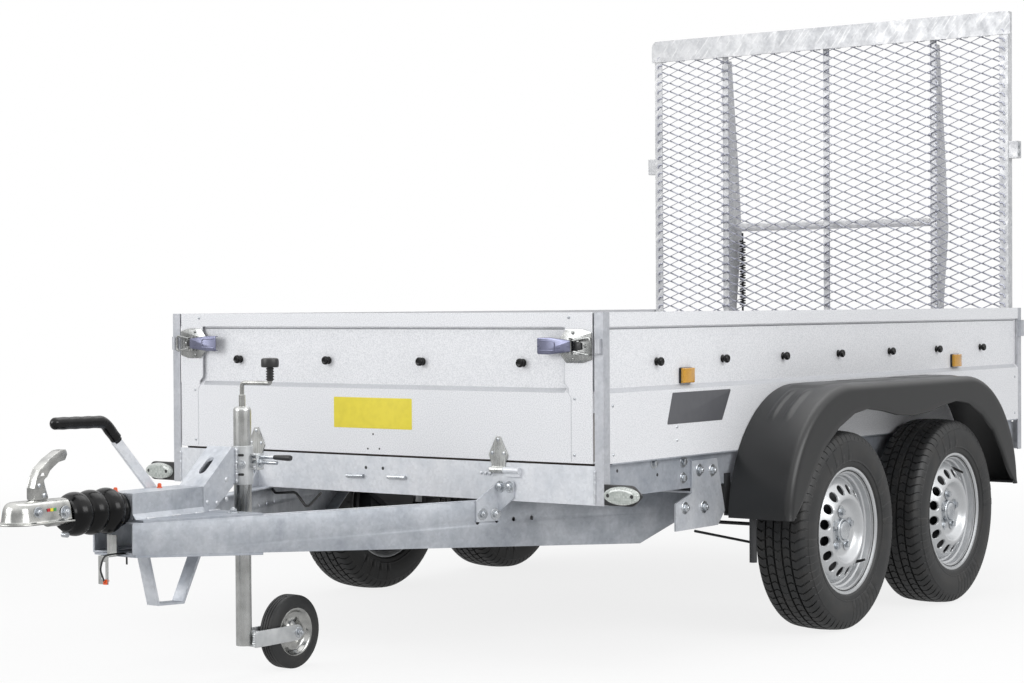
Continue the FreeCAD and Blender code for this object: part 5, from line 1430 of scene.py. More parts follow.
@dataclass
class Mudguard:
    """Blow-moulded tandem mudguard: one skin over both wheels with a rolled outer skirt."""

    side: Side
    wall: float = 4.0
    lip_line: tuple[Point, ...] = (
        (-674, 372), (-704, 396), (-740, 430), (-790, 494), (-862, 570), (-960, 630), (-1061, 668), (-1151, 679),
        (-1256, 668), (-1351, 652), (-1470, 645), (-1589, 652), (-1684, 668), (-1789, 679), (-1879, 668),
        (-1980, 630), (-2078, 570), (-2150, 494), (-2200, 430), (-2236, 396), (-2266, 372))
    edge_radius: float = 22.0
    arch_radius: float = 400.0
    rib_rise: float = 4.0
    ribs: tuple[float, ...] = (0.34, 0.62)
    step_rise: float = 3.0
    steps_along: tuple[Point, ...] = ((-0.62, -0.2), (-0.12, 0.26), (0.34, 0.66))
    arch_steps: int = 44
    straight_steps: int = 60
    across_steps: int = 34
    lip: float = 5.0
    no_skirt: float = 26.0

    def build(self, shop: Workshop) -> None:
        """Makes the skin in the space of its CAD node.

        Args:
            shop: Workshop that makes the pieces.
        """
        tag = self.side.name.lower()
        low, high = shop.box("mudguard_" + tag)
        inner, outer = (low.y, high.y) if self.side is Side.LEFT else (-high.y, -low.y)
        shop.make("mudguard_skin_" + tag, self.skin(low, high, inner, outer).on(self.side), BLACK_SATIN,
                  "mudguard_" + tag, sharp=50, wall=self.wall)

    def path(self, low: Vector, high: Vector) -> list[tuple[Vector, Vector]]:
        """Follows the outer skin from the rear foot over the top to the front foot.

        Args:
            low: Lowest corner of the CAD node.
            high: Its highest corner.

        Returns:
            Places in the XZ plane, each with its outward direction.
        """
        middle, arch = (low.x + high.x) / 2, self.arch_radius
        centre = (high.x - low.x) / 2 - arch
        rise = high.z - arch
        drop = math.asin((low.z - rise) / arch)
        sweep = math.pi / 2 - drop

        def arc(x: float, start: float) -> list[tuple[Vector, Vector]]:
            """Follows one rounded end.

            Args:
                x: Middle of the arc along the trailer.
                start: Angle of its first place.

            Returns:
                Places with their outward directions.
            """
            turns = [start - sweep * step / self.arch_steps for step in range(self.arch_steps + 1)]
            outs = [Vector((math.cos(turn), 0, math.sin(turn))) for turn in turns]
            return [(Vector((x, 0, rise)) + out * arch, out) for out in outs]

        top = [(Vector((middle - centre + 2 * centre * step / self.straight_steps, 0, high.z)), Vector((0, 0, 1)))
               for step in range(1, self.straight_steps)]
        return [*arc(middle - centre, math.pi - drop), *top, *arc(middle + centre, math.pi / 2)]

    def skirt(self, place: Vector, out: Vector) -> float:
        """Finds how deep the outer skirt hangs, by a ray from the skin to the lip.

        Args:
            place: Place on the outer skin.
            out: Its outward direction.

        Returns:
            Depth of the skirt along that direction.
        """
        start, ray = place.xz, -out.xz
        found = []
        for first, last in zip(self.lip_line, self.lip_line[1:]):
            a, b = Vector(first) - start, Vector(last) - Vector(first)
            cross = ray.x * b.y - ray.y * b.x
            if abs(cross) > 1e-9:
                reach = (a.x * b.y - a.y * b.x) / cross
                share = (a.x * ray.y - a.y * ray.x) / cross
                if 0 < reach < self.arch_radius and -0.001 <= share <= 1.001:
                    found.append(reach)
        return min(found, default=self.no_skirt)

    def relief(self, along: float, share: float, out: Vector) -> float:
        """Returns how far ribs and steps rise from the skin.

        Args:
            along: Place along the mudguard, from -1 behind to 1 in front.
            share: Place across, from 0 inside to 1 outside.
            out: Outward direction of the skin.

        Returns:
            Rise over the plain skin.
        """

        def fade(value: float, low: float, high: float, soft: float) -> float:
            """Rises from 0 to 1 inside low and falls again before high."""
            return max(0.0, min(1.0, (value - low) / soft)) * max(0.0, min(1.0, (high - value) / soft))

        lean = math.degrees(math.acos(max(-1.0, min(1.0, out.z))))
        rise = 0.0
        for centre in self.ribs:
            strip = fade(share, centre - 0.07, centre + 0.07, 0.03)
            rise += self.rib_rise * strip * fade(lean, 14, 42, 5) * (1 if along > 0 else 0.6)
        if lean < 12:
            for low, high in self.steps_along:
                rise += self.step_rise * fade(along, low, high, 0.02) * fade(share, 0.12, 0.74, 0.04)
        return rise

    def skin(self, low: Vector, high: Vector, inner: float, outer: float) -> Shape:
        """Makes the open skin.

        Args:
            low: Lowest corner of the CAD node.
            high: Its highest corner.
            inner: Nearest place to the box.
            outer: Farthest place from it.

        Returns:
            The outer surface, before it gets its wall.
        """
        rows = self.path(low, high)
        middle, reach = (low.x + high.x) / 2, (high.x - low.x) / 2
        top = -(self.step_rise + 0.5)
        points, ring = [], []
        for place, out in rows:
            depth = self.skirt(place, out)
            bend = min(self.edge_radius, depth * 0.55)
            flat, last, first = outer - bend, top - depth, top - bend
            ring = []
            for step in range(self.across_steps):
                share = step / self.across_steps
                rise = self.relief((place.x - middle) / reach, share, out) if share > 0.02 else 0.0
                ring.append((inner + (flat - inner) * share, rise + top))
            for step in range(9):
                angle = math.pi / 2 * step / 8
                ring.append((flat + bend * math.sin(angle), top - bend * (1 - math.cos(angle))))
            ring += [(outer, first + (last + self.lip - first) * step / 5) for step in range(1, 6)]
            ring += [(outer - 1.5, last + 1.5), (outer - self.lip, last), (outer - self.lip * 2, last)]
            points += [place + out * lift + Vector((0, y, 0)) for y, lift in ring]
        return Shape(points, grid(len(rows), len(ring), ring=False))


# Ramp


@dataclass
class RampMesh:
    """Expanded metal: slit sheet pulled open into diamonds, its strands standing on edge."""

    long_way: float = 89.0
    short_way: float = 34.0
    strand_wide: float = 7.5
    strand_thick: float = 2.4
    lean_deg: float = 155.0
    knuckle: float = 3.0
    angle_face: float = -2765.0
    weld_places: tuple[float, ...] = (-472.0, -444.0, -11.0, 11.0, 444.0, 472.0)

    def build(self, shop: Workshop) -> None:
        """Makes the strands and the welds that hold them to the frame.

        Args:
            shop: Workshop that makes the pieces.
        """
        low, high = shop.box("ramp_mesh")
        middle = (low.x + high.x) / 2
        shop.make("ramp_expanded_mesh", self.strands(low, high, middle), MESH_ZINC, "ramp_mesh",
                  body="ramp_body", sharp=40)
        shop.make("ramp_mesh_welds", self.welds(low, high, middle), MESH_ZINC, body="ramp_body", sharp=60)

    def strand_path(self, height: float, row: int, low: float, high: float, x: float) -> list[Vector]:
        """Follows one strand from side to side.

        Args:
            height: Middle height of the strand.
            row: Its number, which sets whether it starts up or down.
            low: Start across.
            high: End across.
            x: Plane of the mesh.

        Returns:
            Corners of the strand.
        """
        swing = self.short_way / 4 * (1 if row % 2 else -1)
        bends: list[Point] = []
        place = -self.long_way
        while place < high - low + self.long_way:
            bends += [(place - self.knuckle / 2, swing), (place + self.knuckle / 2, swing),
                      (place + (self.long_way - self.knuckle) / 2, -swing),
                      (place + (self.long_way + self.knuckle) / 2, -swing)]
            place += self.long_way
        corners = [Vector((x, low + along, height + rise)) for along, rise in bends if 0 < along < high - low]
        return [Vector((x, low, height)), *corners, Vector((x, high, height + bends[-1][1] * 0.3))]

    def strands(self, low: Vector, high: Vector, x: float) -> Shape:
        """Makes all strands, each a thin bar that leans as the cut metal does.

        Args:
            low: Lowest corner of the CAD node.
            high: Its highest corner.
            x: Plane of the mesh.

        Returns:
            All strands.
        """
        lean = math.radians(self.lean_deg)
        wide, thick = self.strand_wide / 2, self.strand_thick / 2
        axis = Vector((math.cos(lean), math.sin(lean)))
        corners = [axis * a * wide + Vector((-axis.y, axis.x)) * b * thick
                   for a, b in ((1, 1), (-1, 1), (-1, -1), (1, -1))]
        parts = []
        for row in range(int((high.z - low.z) / (self.short_way / 2)) + 1):
            height = low.z + self.short_way / 4 + row * self.short_way / 2
            if height <= high.z - self.short_way / 4:
                path = self.strand_path(height, row, low.y + 2, high.y - 2, x)
                parts.append(lofted([[point + Vector((u, 0, v)) for u, v in corners] for point in path]))
        return together(parts)

    def welds(self, low: Vector, high: Vector, x: float) -> Shape:
        """Makes the spot welds on beams and middle bar, and the strand ends hooked over the side angles.

        Args:
            low: Lowest corner of the CAD node.
            high: Its highest corner.
            x: Plane of the mesh.

        Returns:
            The spots and hooks.
        """
        draw = random.Random(11)
        bead = turned([(4.6, 0.0), (4.2, 1.8), (2.6, 3.0), (0.0, 3.4)], 8)
        heights = [low.z + self.short_way * (index + 0.5) for index in range(int((high.z - low.z) / self.short_way))]
        parts = []
        for across in self.weld_places:
            for height in heights:
                level = height + draw.uniform(-2, 2)
                spot = on_front(x + 2.6, across + draw.uniform(-2, 2), level)
                parts.append(bead.moved(spot @ Matrix.Scale(draw.uniform(0.8, 1.2), 4)))
        for height in heights:
            route = [(self.angle_face + out, high.y - back, height + up)
                     for out, back, up in ((0, 32, 4), (2, 14, 1), (1, 10, -11))]
            parts.append(tube(bent(route, 7, 4), 3.2, 8).both_sides())
        return together(parts)


# Drawbar and coupling


@dataclass
class Coupling:
    """Overrun coupling: pressed head with its lever, bellows, sliding tube and what sits on its channel."""

    axis_z: float = 486.0
    ball_x: float = 1345.0
    tail_x: float = 1206.0
    tail_half: float = 36.0
    nose_radius: float = 43.0
    lever_half: float = 14.0
    lever_sheet: float = 2.6
    folds: int = 3
    fold_pitch: float = 53.0
    neck: float = 42.5
    grip_y: float = -52.0
    grip_radius: float = 16.8

    def build(self, shop: Workshop) -> None:
        """Makes every visible piece from the head back to the channel's end.

        Args:
            shop: Workshop that makes the pieces.
        """
        shop.make("coupling_head_pressed", self.head(), BRIGHT_ZINC, "coupling_head", sharp=50)
        shop.make("coupling_lever", self.lever(), PRESSED_ZINC, "coupling_handle")
        shop.make("coupling_bellows_folds", self.bellows(), BELLOWS_RUBBER, "coupling_bellows", sharp=70)
        shop.make("drawtube_drawn", bar((757, 0, self.axis_z), (1255, 0, self.axis_z), 24.5, 48), BRIGHT_ZINC,
                  "drawtube")
        shop.make("coupling_fasteners", self.fasteners(), BOLT_ZINC)
        cap = turned([(7.5, 0.0), (7.5, 2.0), (5.6, 3.0), (5.2, 9.5), (3.6, 12.0), (0.0, 12.4)], 20)
        shop.make("coupling_caps", together([cap.at(x, -27, 527.6) for x in (999, 842)]), ORANGE_CAP)
        shop.make("coupling_welds", self.welds(), WELD_ZINC, sharp=60)
        shop.make("handbrake_grip_moulded", self.grip(), BLACK_GLOSS, "handbrake_grip", sharp=60)
        for name, finish, start in (("green", GREEN_FILM, 1258), ("yellow", YELLOW_FILM, 1268),
                                    ("red", RED_FILM, 1278)):
            mark = plate(box_outline((start, 503), (start + 9.4, 511)), 1.2).moved(on_side(38.2))
            shop.make("wear_mark_" + name, mark, finish, slot=Slot.ZINC)

    def plan(self, spread: float, height: float) -> list[Vector]:
        """Outlines the head from above at a height, grown or shrunk by spread.

        Args:
            spread: Distance outside the head's plain outline.
            height: Height of the outline.

        Returns:
            Points of the outline.
        """
        half, nose = self.tail_half + spread, self.nose_radius + spread
        turns = [math.pi * (step / 28 - 0.5) for step in range(29)]
        arc = [Vector((self.ball_x + nose * math.cos(t), nose * math.sin(t), height)) for t in turns]
        return [Vector((self.tail_x, -half, height)), *arc, Vector((self.tail_x, half, height))]

    def head(self) -> Shape:
        """Makes the pressed head with its flat rim, steep walls and crown, hollow below.

        Returns:
            The shape, in the trailer's place.
        """
        rows = [(-14, 512), (-16, 500), (-18, 475), (-17, 474), (11.2, 474), (12, 474.8), (12, 477.4), (11.2, 478.2),
                (3.6, 478.6), (0.8, 480.2), (-0.6, 484), (-3.4, 504), (-5.4, 513), (-8.6, 520), (-13.4, 525.4),
                (-20, 528.6), (-29, 530)]
        return lofted([self.plan(spread, height) for spread, height in rows])

    def lever(self) -> Shape:
        """Makes the folded lever: two cheeks and the web along its front.

        Returns:
            The shape, in the trailer's place.
        """
        outline = rounded([(1260, 530), (1307, 530), (1307, 560), (1300, 583), (1287, 607), (1259, 629), (1224, 648),
                           (1203, 650), (1199, 638), (1206, 624), (1227, 620), (1243, 610), (1256, 600), (1265, 586),
                           (1276, 579), (1271, 560)], 6, 4)
        route = [(1305.6, 531), (1305.6, 560), (1298.6, 582.6), (1286, 606), (1258.4, 627.6), (1223.6, 646.6),
                 (1203, 648.4)]
        sheet, half = self.lever_sheet, self.lever_half
        cheek = plate(outline, sheet, [shifted(slot_hole(17, 7.5), 1281, 593)])
        web = plate(strap(route, sheet, 14), half * 2 - sheet)
        return together([cheek.moved(on_side(half)), cheek.moved(on_side(sheet - half)),
                         web.moved(on_side(half - sheet / 2))])

    def bellows(self) -> Shape:
        """Makes the bellows: a clamped collar, deep rounded folds and a front cuff.

        Returns:
            The shape, in the trailer's place.
        """
        neck = self.neck
        profile = [(25.0, 0.0), (neck - 1, 0.0), (neck, 1.5), (neck, 6), (44.5, 7), (44.5, 15), (neck, 16), (neck, 22)]
        for fold in range(self.folds):
            top = 58.6 - 1.6 * fold
            profile += [(neck + (top - neck) * math.sin(math.pi * (step / 16)) ** 0.5,
                         22 + self.fold_pitch * (fold + step / 16 * 0.94)) for step in range(17)]
        profile += [(neck - 3, 183), (neck - 3, 188), (neck - 5, 189), (25.0, 189)]
        return turned(profile, 64).moved(on_front(1011, 0, self.axis_z))

    def grip(self) -> Shape:
        """Makes the long moulded grip with shallow finger waves and a rounded end.

        Returns:
            The shape, in the trailer's place.
        """
        corners = [(966, self.grip_y, 657), (1014, self.grip_y, 708), (1192, self.grip_y, 711)]

        def section(share: float) -> list[Point]:
            """Outlines the grip, which narrows at both ends.

            Args:
                share: Share of the grip's length.

            Returns:
                The grip's outline there.
            """
            wave = 0.4 * math.cos(FULL_TURN * share * 6)
            end = math.sqrt(max(0.02, 1 - max(0.0, (share - 0.94) / 0.06) ** 2))
            collar = 0.8 if share < 0.03 else 1.0
            width = (self.grip_radius - 0.9 + wave) * end * collar * 2
            return oval(width * 0.9, width, 24)

        return swept(dense(bent(corners, 42, 10), 3.0), section)

    def fasteners(self) -> Shape:
        """Makes the bolts and rivets through head and lever, and the pin below the head.

        Returns:
            The shape, in the trailer's place.
        """
        parts = []
        for side in (1, -1):
            parts += [bolt(outward(1317, 38.5 * side, 503, side), 15, 8, 1.6, 2),
                      bolt(outward(1228, 36.5 * side, 497, side), 17, 9, 1.6, 3),
                      rivet(outward(1276, 14 * side, 541, side), 6.4), rivet(outward(1292, 14 * side, 566, side), 6)]
        return together([*parts, bar((1196, -9, 437), (1196, 9, 437), 7)])

    def welds(self) -> Shape:
        """Makes the stitch welds of the channel and its plates.

        Returns:
            The shape, in the trailer's place.
        """
        parts = []
        for side in (1, -1):
            parts += [weld([(x, 58.5 * side, 461.8), (x + 34, 58.5 * side, 461.8)], 2.6, 30 + index)
                      for index, x in enumerate((766, 850, 940))]
            parts.append(weld([(756.4, 40 * side, 470), (756.4, 42 * side, 520)], 2.4, 41))
        return together(parts)


@dataclass
class DrawbarBar:
    """One drawbar member: a deep folded channel with punched holes in its web."""

    side: Side
    nose: Point = (1036.0, 72.0)
    angle_deg: float = 20.2
    top: float = 455.0
    run: float = 1807.0
    flange: float = 42.0
    sheet: float = 5.0
    holes: tuple[Point, ...] = ((1036, 396), (1100, 398), (1157, 399), (1218, 399.5))

    def lay(self, inward: float) -> Matrix:
        """Lays an outline of run and height on the left bar's web, moved inwards.

        Args:
            inward: Distance that the outline is moved inwards.

        Returns:
            The matrix that lays it.
        """
        turn = math.radians(self.angle_deg)
        out = Vector((math.sin(turn), math.cos(turn), 0))
        origin = Vector((*self.nose, 0)) - out * inward
        return facing(tuple(origin), (-math.cos(turn), math.sin(turn), 0), (0, 0, 1))

    def build(self, shop: Workshop) -> None:
        """Makes the bar in the space of its CAD node.

        Args:
            shop: Workshop that makes the pieces.
        """
        tag = self.side.name.lower()
        foot = [(0.0, 374.0), (1600.0, 301.5), (self.run, 388.0)]
        outline = [*foot, (self.run, self.top), (0.0, self.top)]
        punched = [shifted(oval(13, 13, 16), *hole) for hole in self.holes]
        half = self.sheet / 2
        low = strap([(u, z + half) for u, z in foot], self.sheet, 30)
        high = strap([(0.0, self.top - half), (self.run, self.top - half)], self.sheet, 10)
        parts = [plate(outline, self.sheet, punched).moved(self.lay(self.sheet))]
        parts += [plate(edge, self.flange - 0.4, edge=1.5).moved(self.lay(self.flange)) for edge in (low, high)]
        shop.make("drawbar_channel_" + tag, together(parts).on(self.side), GALVANISED_DRAWBAR, "drawbar_" + tag)


@dataclass
class DrawbarHardware:
    """Bolts, holes and brake parts on and between the drawbar members."""

    beam_face: float = 790.0
    plate_face: float = 796.0
    side_bolts: tuple[Point, ...] = ((-516, 520), (-589, 515), (-437, 416), (-542, 411))
    beam_bolts: tuple[Point, ...] = ((-438, 548), (-437, 502), (-282, 554))
    front_bolts: tuple[Point, ...] = ((466, 494), (498, 494))
    arm_bolts: tuple[Point, ...] = ((1048, 419), (1091, 417))

    def build(self, shop: Workshop) -> None:
        """Makes the bolts, the brake rod, the cables and the breakaway cable.

        Args:
            shop: Workshop that makes the pieces.
        """
        rod = [bar((690, 0, 395), (-1060, 0, 330), 5), bar((-649, 700, 326), (-1068, 700, 246), 4),
               block((-1068, -90, 318), (-1052, 90, 342))]
        cord = [(1000, 13, 345), (1006, 19, 376), (1086, 19, 376), (1094, 15, 340), (1074, 9.5, 306)]
        clip = [block((1066, 4, 300), (1074, 15, 313)), bar((1060, 10, 309), (1078, 10, 309), 3.2, 14)]
        shop.make("drawbar_bolts", self.bolts(), BOLT_ZINC)
        shop.make("brake_rod", together(rod), AXLE_BLACK)
        shop.make("brake_cables", self.cables(), CABLE_RUBBER, sharp=60)
        shop.make("breakaway_cord", tube(bent(cord, 26, 10), 2.4, 12), CABLE_RUBBER, "breakaway_cable", sharp=60)
        shop.make("breakaway_clip", together(clip), ORANGE_CAP)

    def bolts(self) -> Shape:
        """Makes the bolts of the side and front brackets on the left, and mirrors them.

        Returns:
            The shape, in the trailer's place.
        """
        arm = DrawbarBar(Side.LEFT).lay(-6)
        parts = [bolt(outward(x, self.plate_face, z), 19, 9, 2, 4) for x, z in self.side_bolts]
        parts += [bolt(outward(x, self.beam_face, z), 17, 8, 2) for x, z in self.beam_bolts]
        parts += [bolt(on_front(6, y, z), 17, 8, 2, 3) for y, z in self.front_bolts]
        parts += [bolt(arm @ Matrix.Translation((u, z, 0)), 17, 8, 2, 4) for u, z in self.arm_bolts]
        return together([*parts, bolt(on_top(730, 130, 461), 17, 9, 2, 3)]).both_sides()

    def cables(self) -> Shape:
        """Makes the brake cables to both axles and the electric cable behind the front beam.

        Returns:
            The shape, in the trailer's place.
        """
        parts = []
        for side in (1, -1):
            for y, x_end in ((60, -1150), (30, -1890)):
                route = [(-1060, y * side, 330), (-1130, y * side * 3, 322), (x_end, 420 * side, 300),
                         (x_end + 40, 740 * side, 305)]
                parts.append(tube(bent(route, 120, 10), 6, 10))
        wire = [(60, -150, 452), (20, -240, 400), (-30, -330, 440), (-60, -440, 430), (-160, -560, 452)]
        return together([*parts, tube(bent(wire, 60, 10), 4, 10)])


@dataclass
class JockeyStand:
    """Jockey wheel's tube, clamp, crank and fork, all bright zinc but for the moulded grips."""

    x: float = 586.0
    y: float = 30.0
    hub_x: float = 402.0
    hub_z: float = 102.0
    arm_z: float = 796.0
    reach: float = 102.0
    ear_heights: tuple[float, ...] = (561, 573, 599)
    screw_back: float = 15.0
    slot_turn_deg: float = 35.0

    def build(self, shop: Workshop) -> None:
        """Makes the fixed pieces on the chassis and the tube with its fork on the swivel.

        Args:
            shop: Workshop that makes the pieces.
        """
        outer = [(21.6, 470), (21.6, 402), (22.2, 400.4), (23.4, 400), (24, 401), (24, 721), (23.5, 725), (21, 729),
                 (15, 731.6), (9, 732.6), (0, 733)]
        inner = [(0, 86.2), (20.4, 86.2), (21.4, 87.2), (21.4, 480)]
        shop.make("jockey_tube_drawn", self.round(outer, 64), TUBE_ZINC, "jockey_tube")
        shop.make("jockey_clamp_sleeve", self.clamp(), WHITE_ZINC, "jockey_clamp")
        shop.make("jockey_clamp_screw", self.screws(), BOLT_ZINC)
        shop.make("jockey_grips", self.grips(), BLACK_GRIP)
        shop.make("jockey_crank_bar", self.crank(), BRIGHT_ZINC, "jockey_crank")
        shop.make("jockey_gusset_welds", self.welds(), WELD_ZINC, sharp=60)
        shop.make("jockey_fork", self.fork(), WHITE_ZINC, "jockey_inner_tube", body="jockey_swivel")
        shop.make("jockey_inner_drawn", self.round(inner, 64), TUBE_ZINC, body="jockey_swivel")

    def round(self, profile: Sequence[Point], steps: int) -> Shape:
        """Turns a profile round the stand's axis."""
        return turned(profile, steps).at(self.x, self.y, 0)

    def on_sleeve(self, height: float, radius: float) -> Matrix:
        """Lays a piece on the sleeve where its slots are, with its third axis outwards.

        Args:
            height: Height of the place.
            radius: Its distance from the stand's axis.

        Returns:
            The matrix that lays the piece.
        """
        turn = math.radians(self.slot_turn_deg)
        out = Vector((math.cos(turn), math.sin(turn), 0))
        return facing(tuple(Vector((self.x, self.y, height)) + out * radius), (-out.y, out.x, 0), (0, 0, 1))

    def clamp(self) -> Shape:
        """Makes the sleeve and the folded pinch block on its side.

        Returns:
            The shape, in the trailer's place.
        """
        x, y = self.x, self.y
        sleeve = [(24.3, 540), (24.3, 522), (28.4, 522), (29, 522.8), (29, 625.2), (28.4, 626), (24.3, 626),
                  (24.3, 610)]
        ears = rounded([(x - 29, y + 10), (x - 29, y + 50), (x - 2, y + 50), (x - 2, y + 10)], [1, 9, 9, 1])
        back = rounded(box_outline((x - 29, 561), (x - 2, 605)), 3)
        return together([self.round(sleeve, 56), *[plate(ears, 6, edge=1.2).at(0, 0, z) for z in self.ear_heights],
                         plate(back, 5, edge=1.2).moved(on_side(y + 51))])

    def screws(self) -> Shape:
        """Makes the clamp's two screws and the sleeve's bolt.

        Returns:
            The shape, in the trailer's place.
        """
        x, y = self.x - self.screw_back, self.y
        return together([bar((x, y + 20, 597), (x, y + 102, 597), 5), bar((x, y + 20, 582), (x, y + 112, 582), 5),
                         bolt(outward(x, y + 51, 582), 15, 7, 1.6), bolt(self.on_sleeve(577, 28.6), 13, 7, 1.2)])

    def grips(self) -> Shape:
        """Makes the tapered clamp grip, the crank's ribbed stem and its knob, and black plates of painted shade in the
        sleeve's slots.

        Returns:
            The shape, in the trailer's place.
        """
        x, y = self.x, self.y
        taper = [(0, 0), (5.6, 0), (6.4, 2), (8.0, 44), (8.0, 56), (6.6, 60), (0, 61)]
        stem: list[Point] = [(0.0, 802.0), (8.0, 802.0)]
        for rib in range(5):
            stem += [(8.2, 804 + rib * 7), (10.8, 805 + rib * 7), (10.8, 808 + rib * 7), (8.2, 809 + rib * 7)]
        stem += [(9, 838), (21, 838.4), (23.4, 840.5), (24, 845), (24, 856), (22.6, 861), (18, 863.4), (0, 864)]
        # The black plates on the sleeve are painted shade in its slots.
        return together([turned(taper, 24).moved(outward(x - self.screw_back, y + 101, 597)),
                         turned(stem, 40).at(x, y + self.reach, 0),
                         *[plate(slot_hole(16, 7), 0.9).moved(self.on_sleeve(z, 28.5)) for z in (550, 602)]])

    def crank(self) -> Shape:
        """Makes the collar and the bent round bar of the crank.

        Returns:
            The shape, in the trailer's place.
        """
        x, y = self.x, self.y
        collar = [(0, 731), (9, 731), (9, 762), (7.6, 764), (0, 764)]
        route = [(x, y, 740), (x, y, self.arm_z), (x, y + self.reach, self.arm_z), (x, y + self.reach, 806)]
        return together([self.round(collar, 28), tube(bent(route, 12, 8), 6, 18, (1, 0, 0))])

    def welds(self) -> Shape:
        """Makes the thick bead between gusset and sleeve and the gusset's spot welds.

        Returns:
            The shape, in the trailer's place.
        """
        spot = turned([(7, 0.0), (6.4, 1.2), (3, 2.0), (0.0, 2.2)], 14)
        parts = [weld([(618, y, 526), (618, y, 622)], 4.4, 50 + y, 6) for y in (9, 36)]
        parts += [spot.moved(outward(x, 44, z)) for x, z in ((664, 488), (664, 540), (700, 480), (736, 484))]
        parts += [weld([(690, 45 * side, 462), (735, 45 * side, 462)], 2.6, 60 + side) for side in (1, -1)]
        return together(parts)

    def fork(self) -> Shape:
        """Makes the two rounded arms, the bridge round the tube and its weld.

        Returns:
            The shape, in the trailer's place.
        """
        x, y, z = self.x, self.y, self.hub_z
        arm = plate(rounded(box_outline((self.hub_x - 15, z - 22), (x - 8, z + 22)), [21, 5, 5, 21], 8), 5, edge=1.0)
        seams = [weld([(x - 9, y + 29 * side, z - 20), (x - 9, y + 29 * side, z + 20)], 4.5, 70 + side, 6)
                 for side in (1, -1)]
        return together([arm.moved(on_side(y + 35)), arm.moved(on_side(y - 30)),
                         block((x - 34, y - 31, z - 21), (x - 26, y + 31, z + 21)),
                         block((x - 27, y - 30, z - 20), (x - 12, y + 30, z + 20)), *seams,
                         bar((self.hub_x, y - 34, z), (self.hub_x, y + 34, z), 6)])


# Box fittings

FOLD_SLOPE_MM = 17.0
FRONT_FOLD = facing((0.0, 0.0, 759.0), (0, 1, 0), (-11, 0, 13))
SIDE_FOLD = facing((0.0, 810.0, 759.0), (1, 0, 0), (0, -11, 13)) @ Matrix.Scale(-1, 4, (0, 0, 1))


def lashing_knob() -> Shape:
    """Makes one lashing knob: a round head on a neck, with a flange against the sheet."""
    return turned([(11.5, 0.0), (11.5, 1.6), (8.4, 2.6), (7.2, 6.0), (8.0, 9.0), (11.6, 11.0), (12.8, 14.0),
                   (12.4, 18.0), (10.4, 20.6), (8.6, 21.2), (7.8, 20.4), (3.4, 20.6), (0.0, 20.8)], 32)


def fold_band(start: float, end: float) -> Shape:
    """Makes the thin grey strip of painted shade that lies on the sloped lower fold of a panel."""
    return plate(box_outline((start, 0.5), (end, FOLD_SLOPE_MM - 0.5)), 0.4, edge=0.1)


def hole_shade_discs(matrices: Iterable[Matrix], radius: float, depth: float = 0.5) -> Shape:
    """Makes round black discs, painted shade that shows the small holes in a sheet."""
    return together([turned([(radius, 0), (radius * 0.9, depth), (0, depth)], 16).moved(m) for m in matrices])


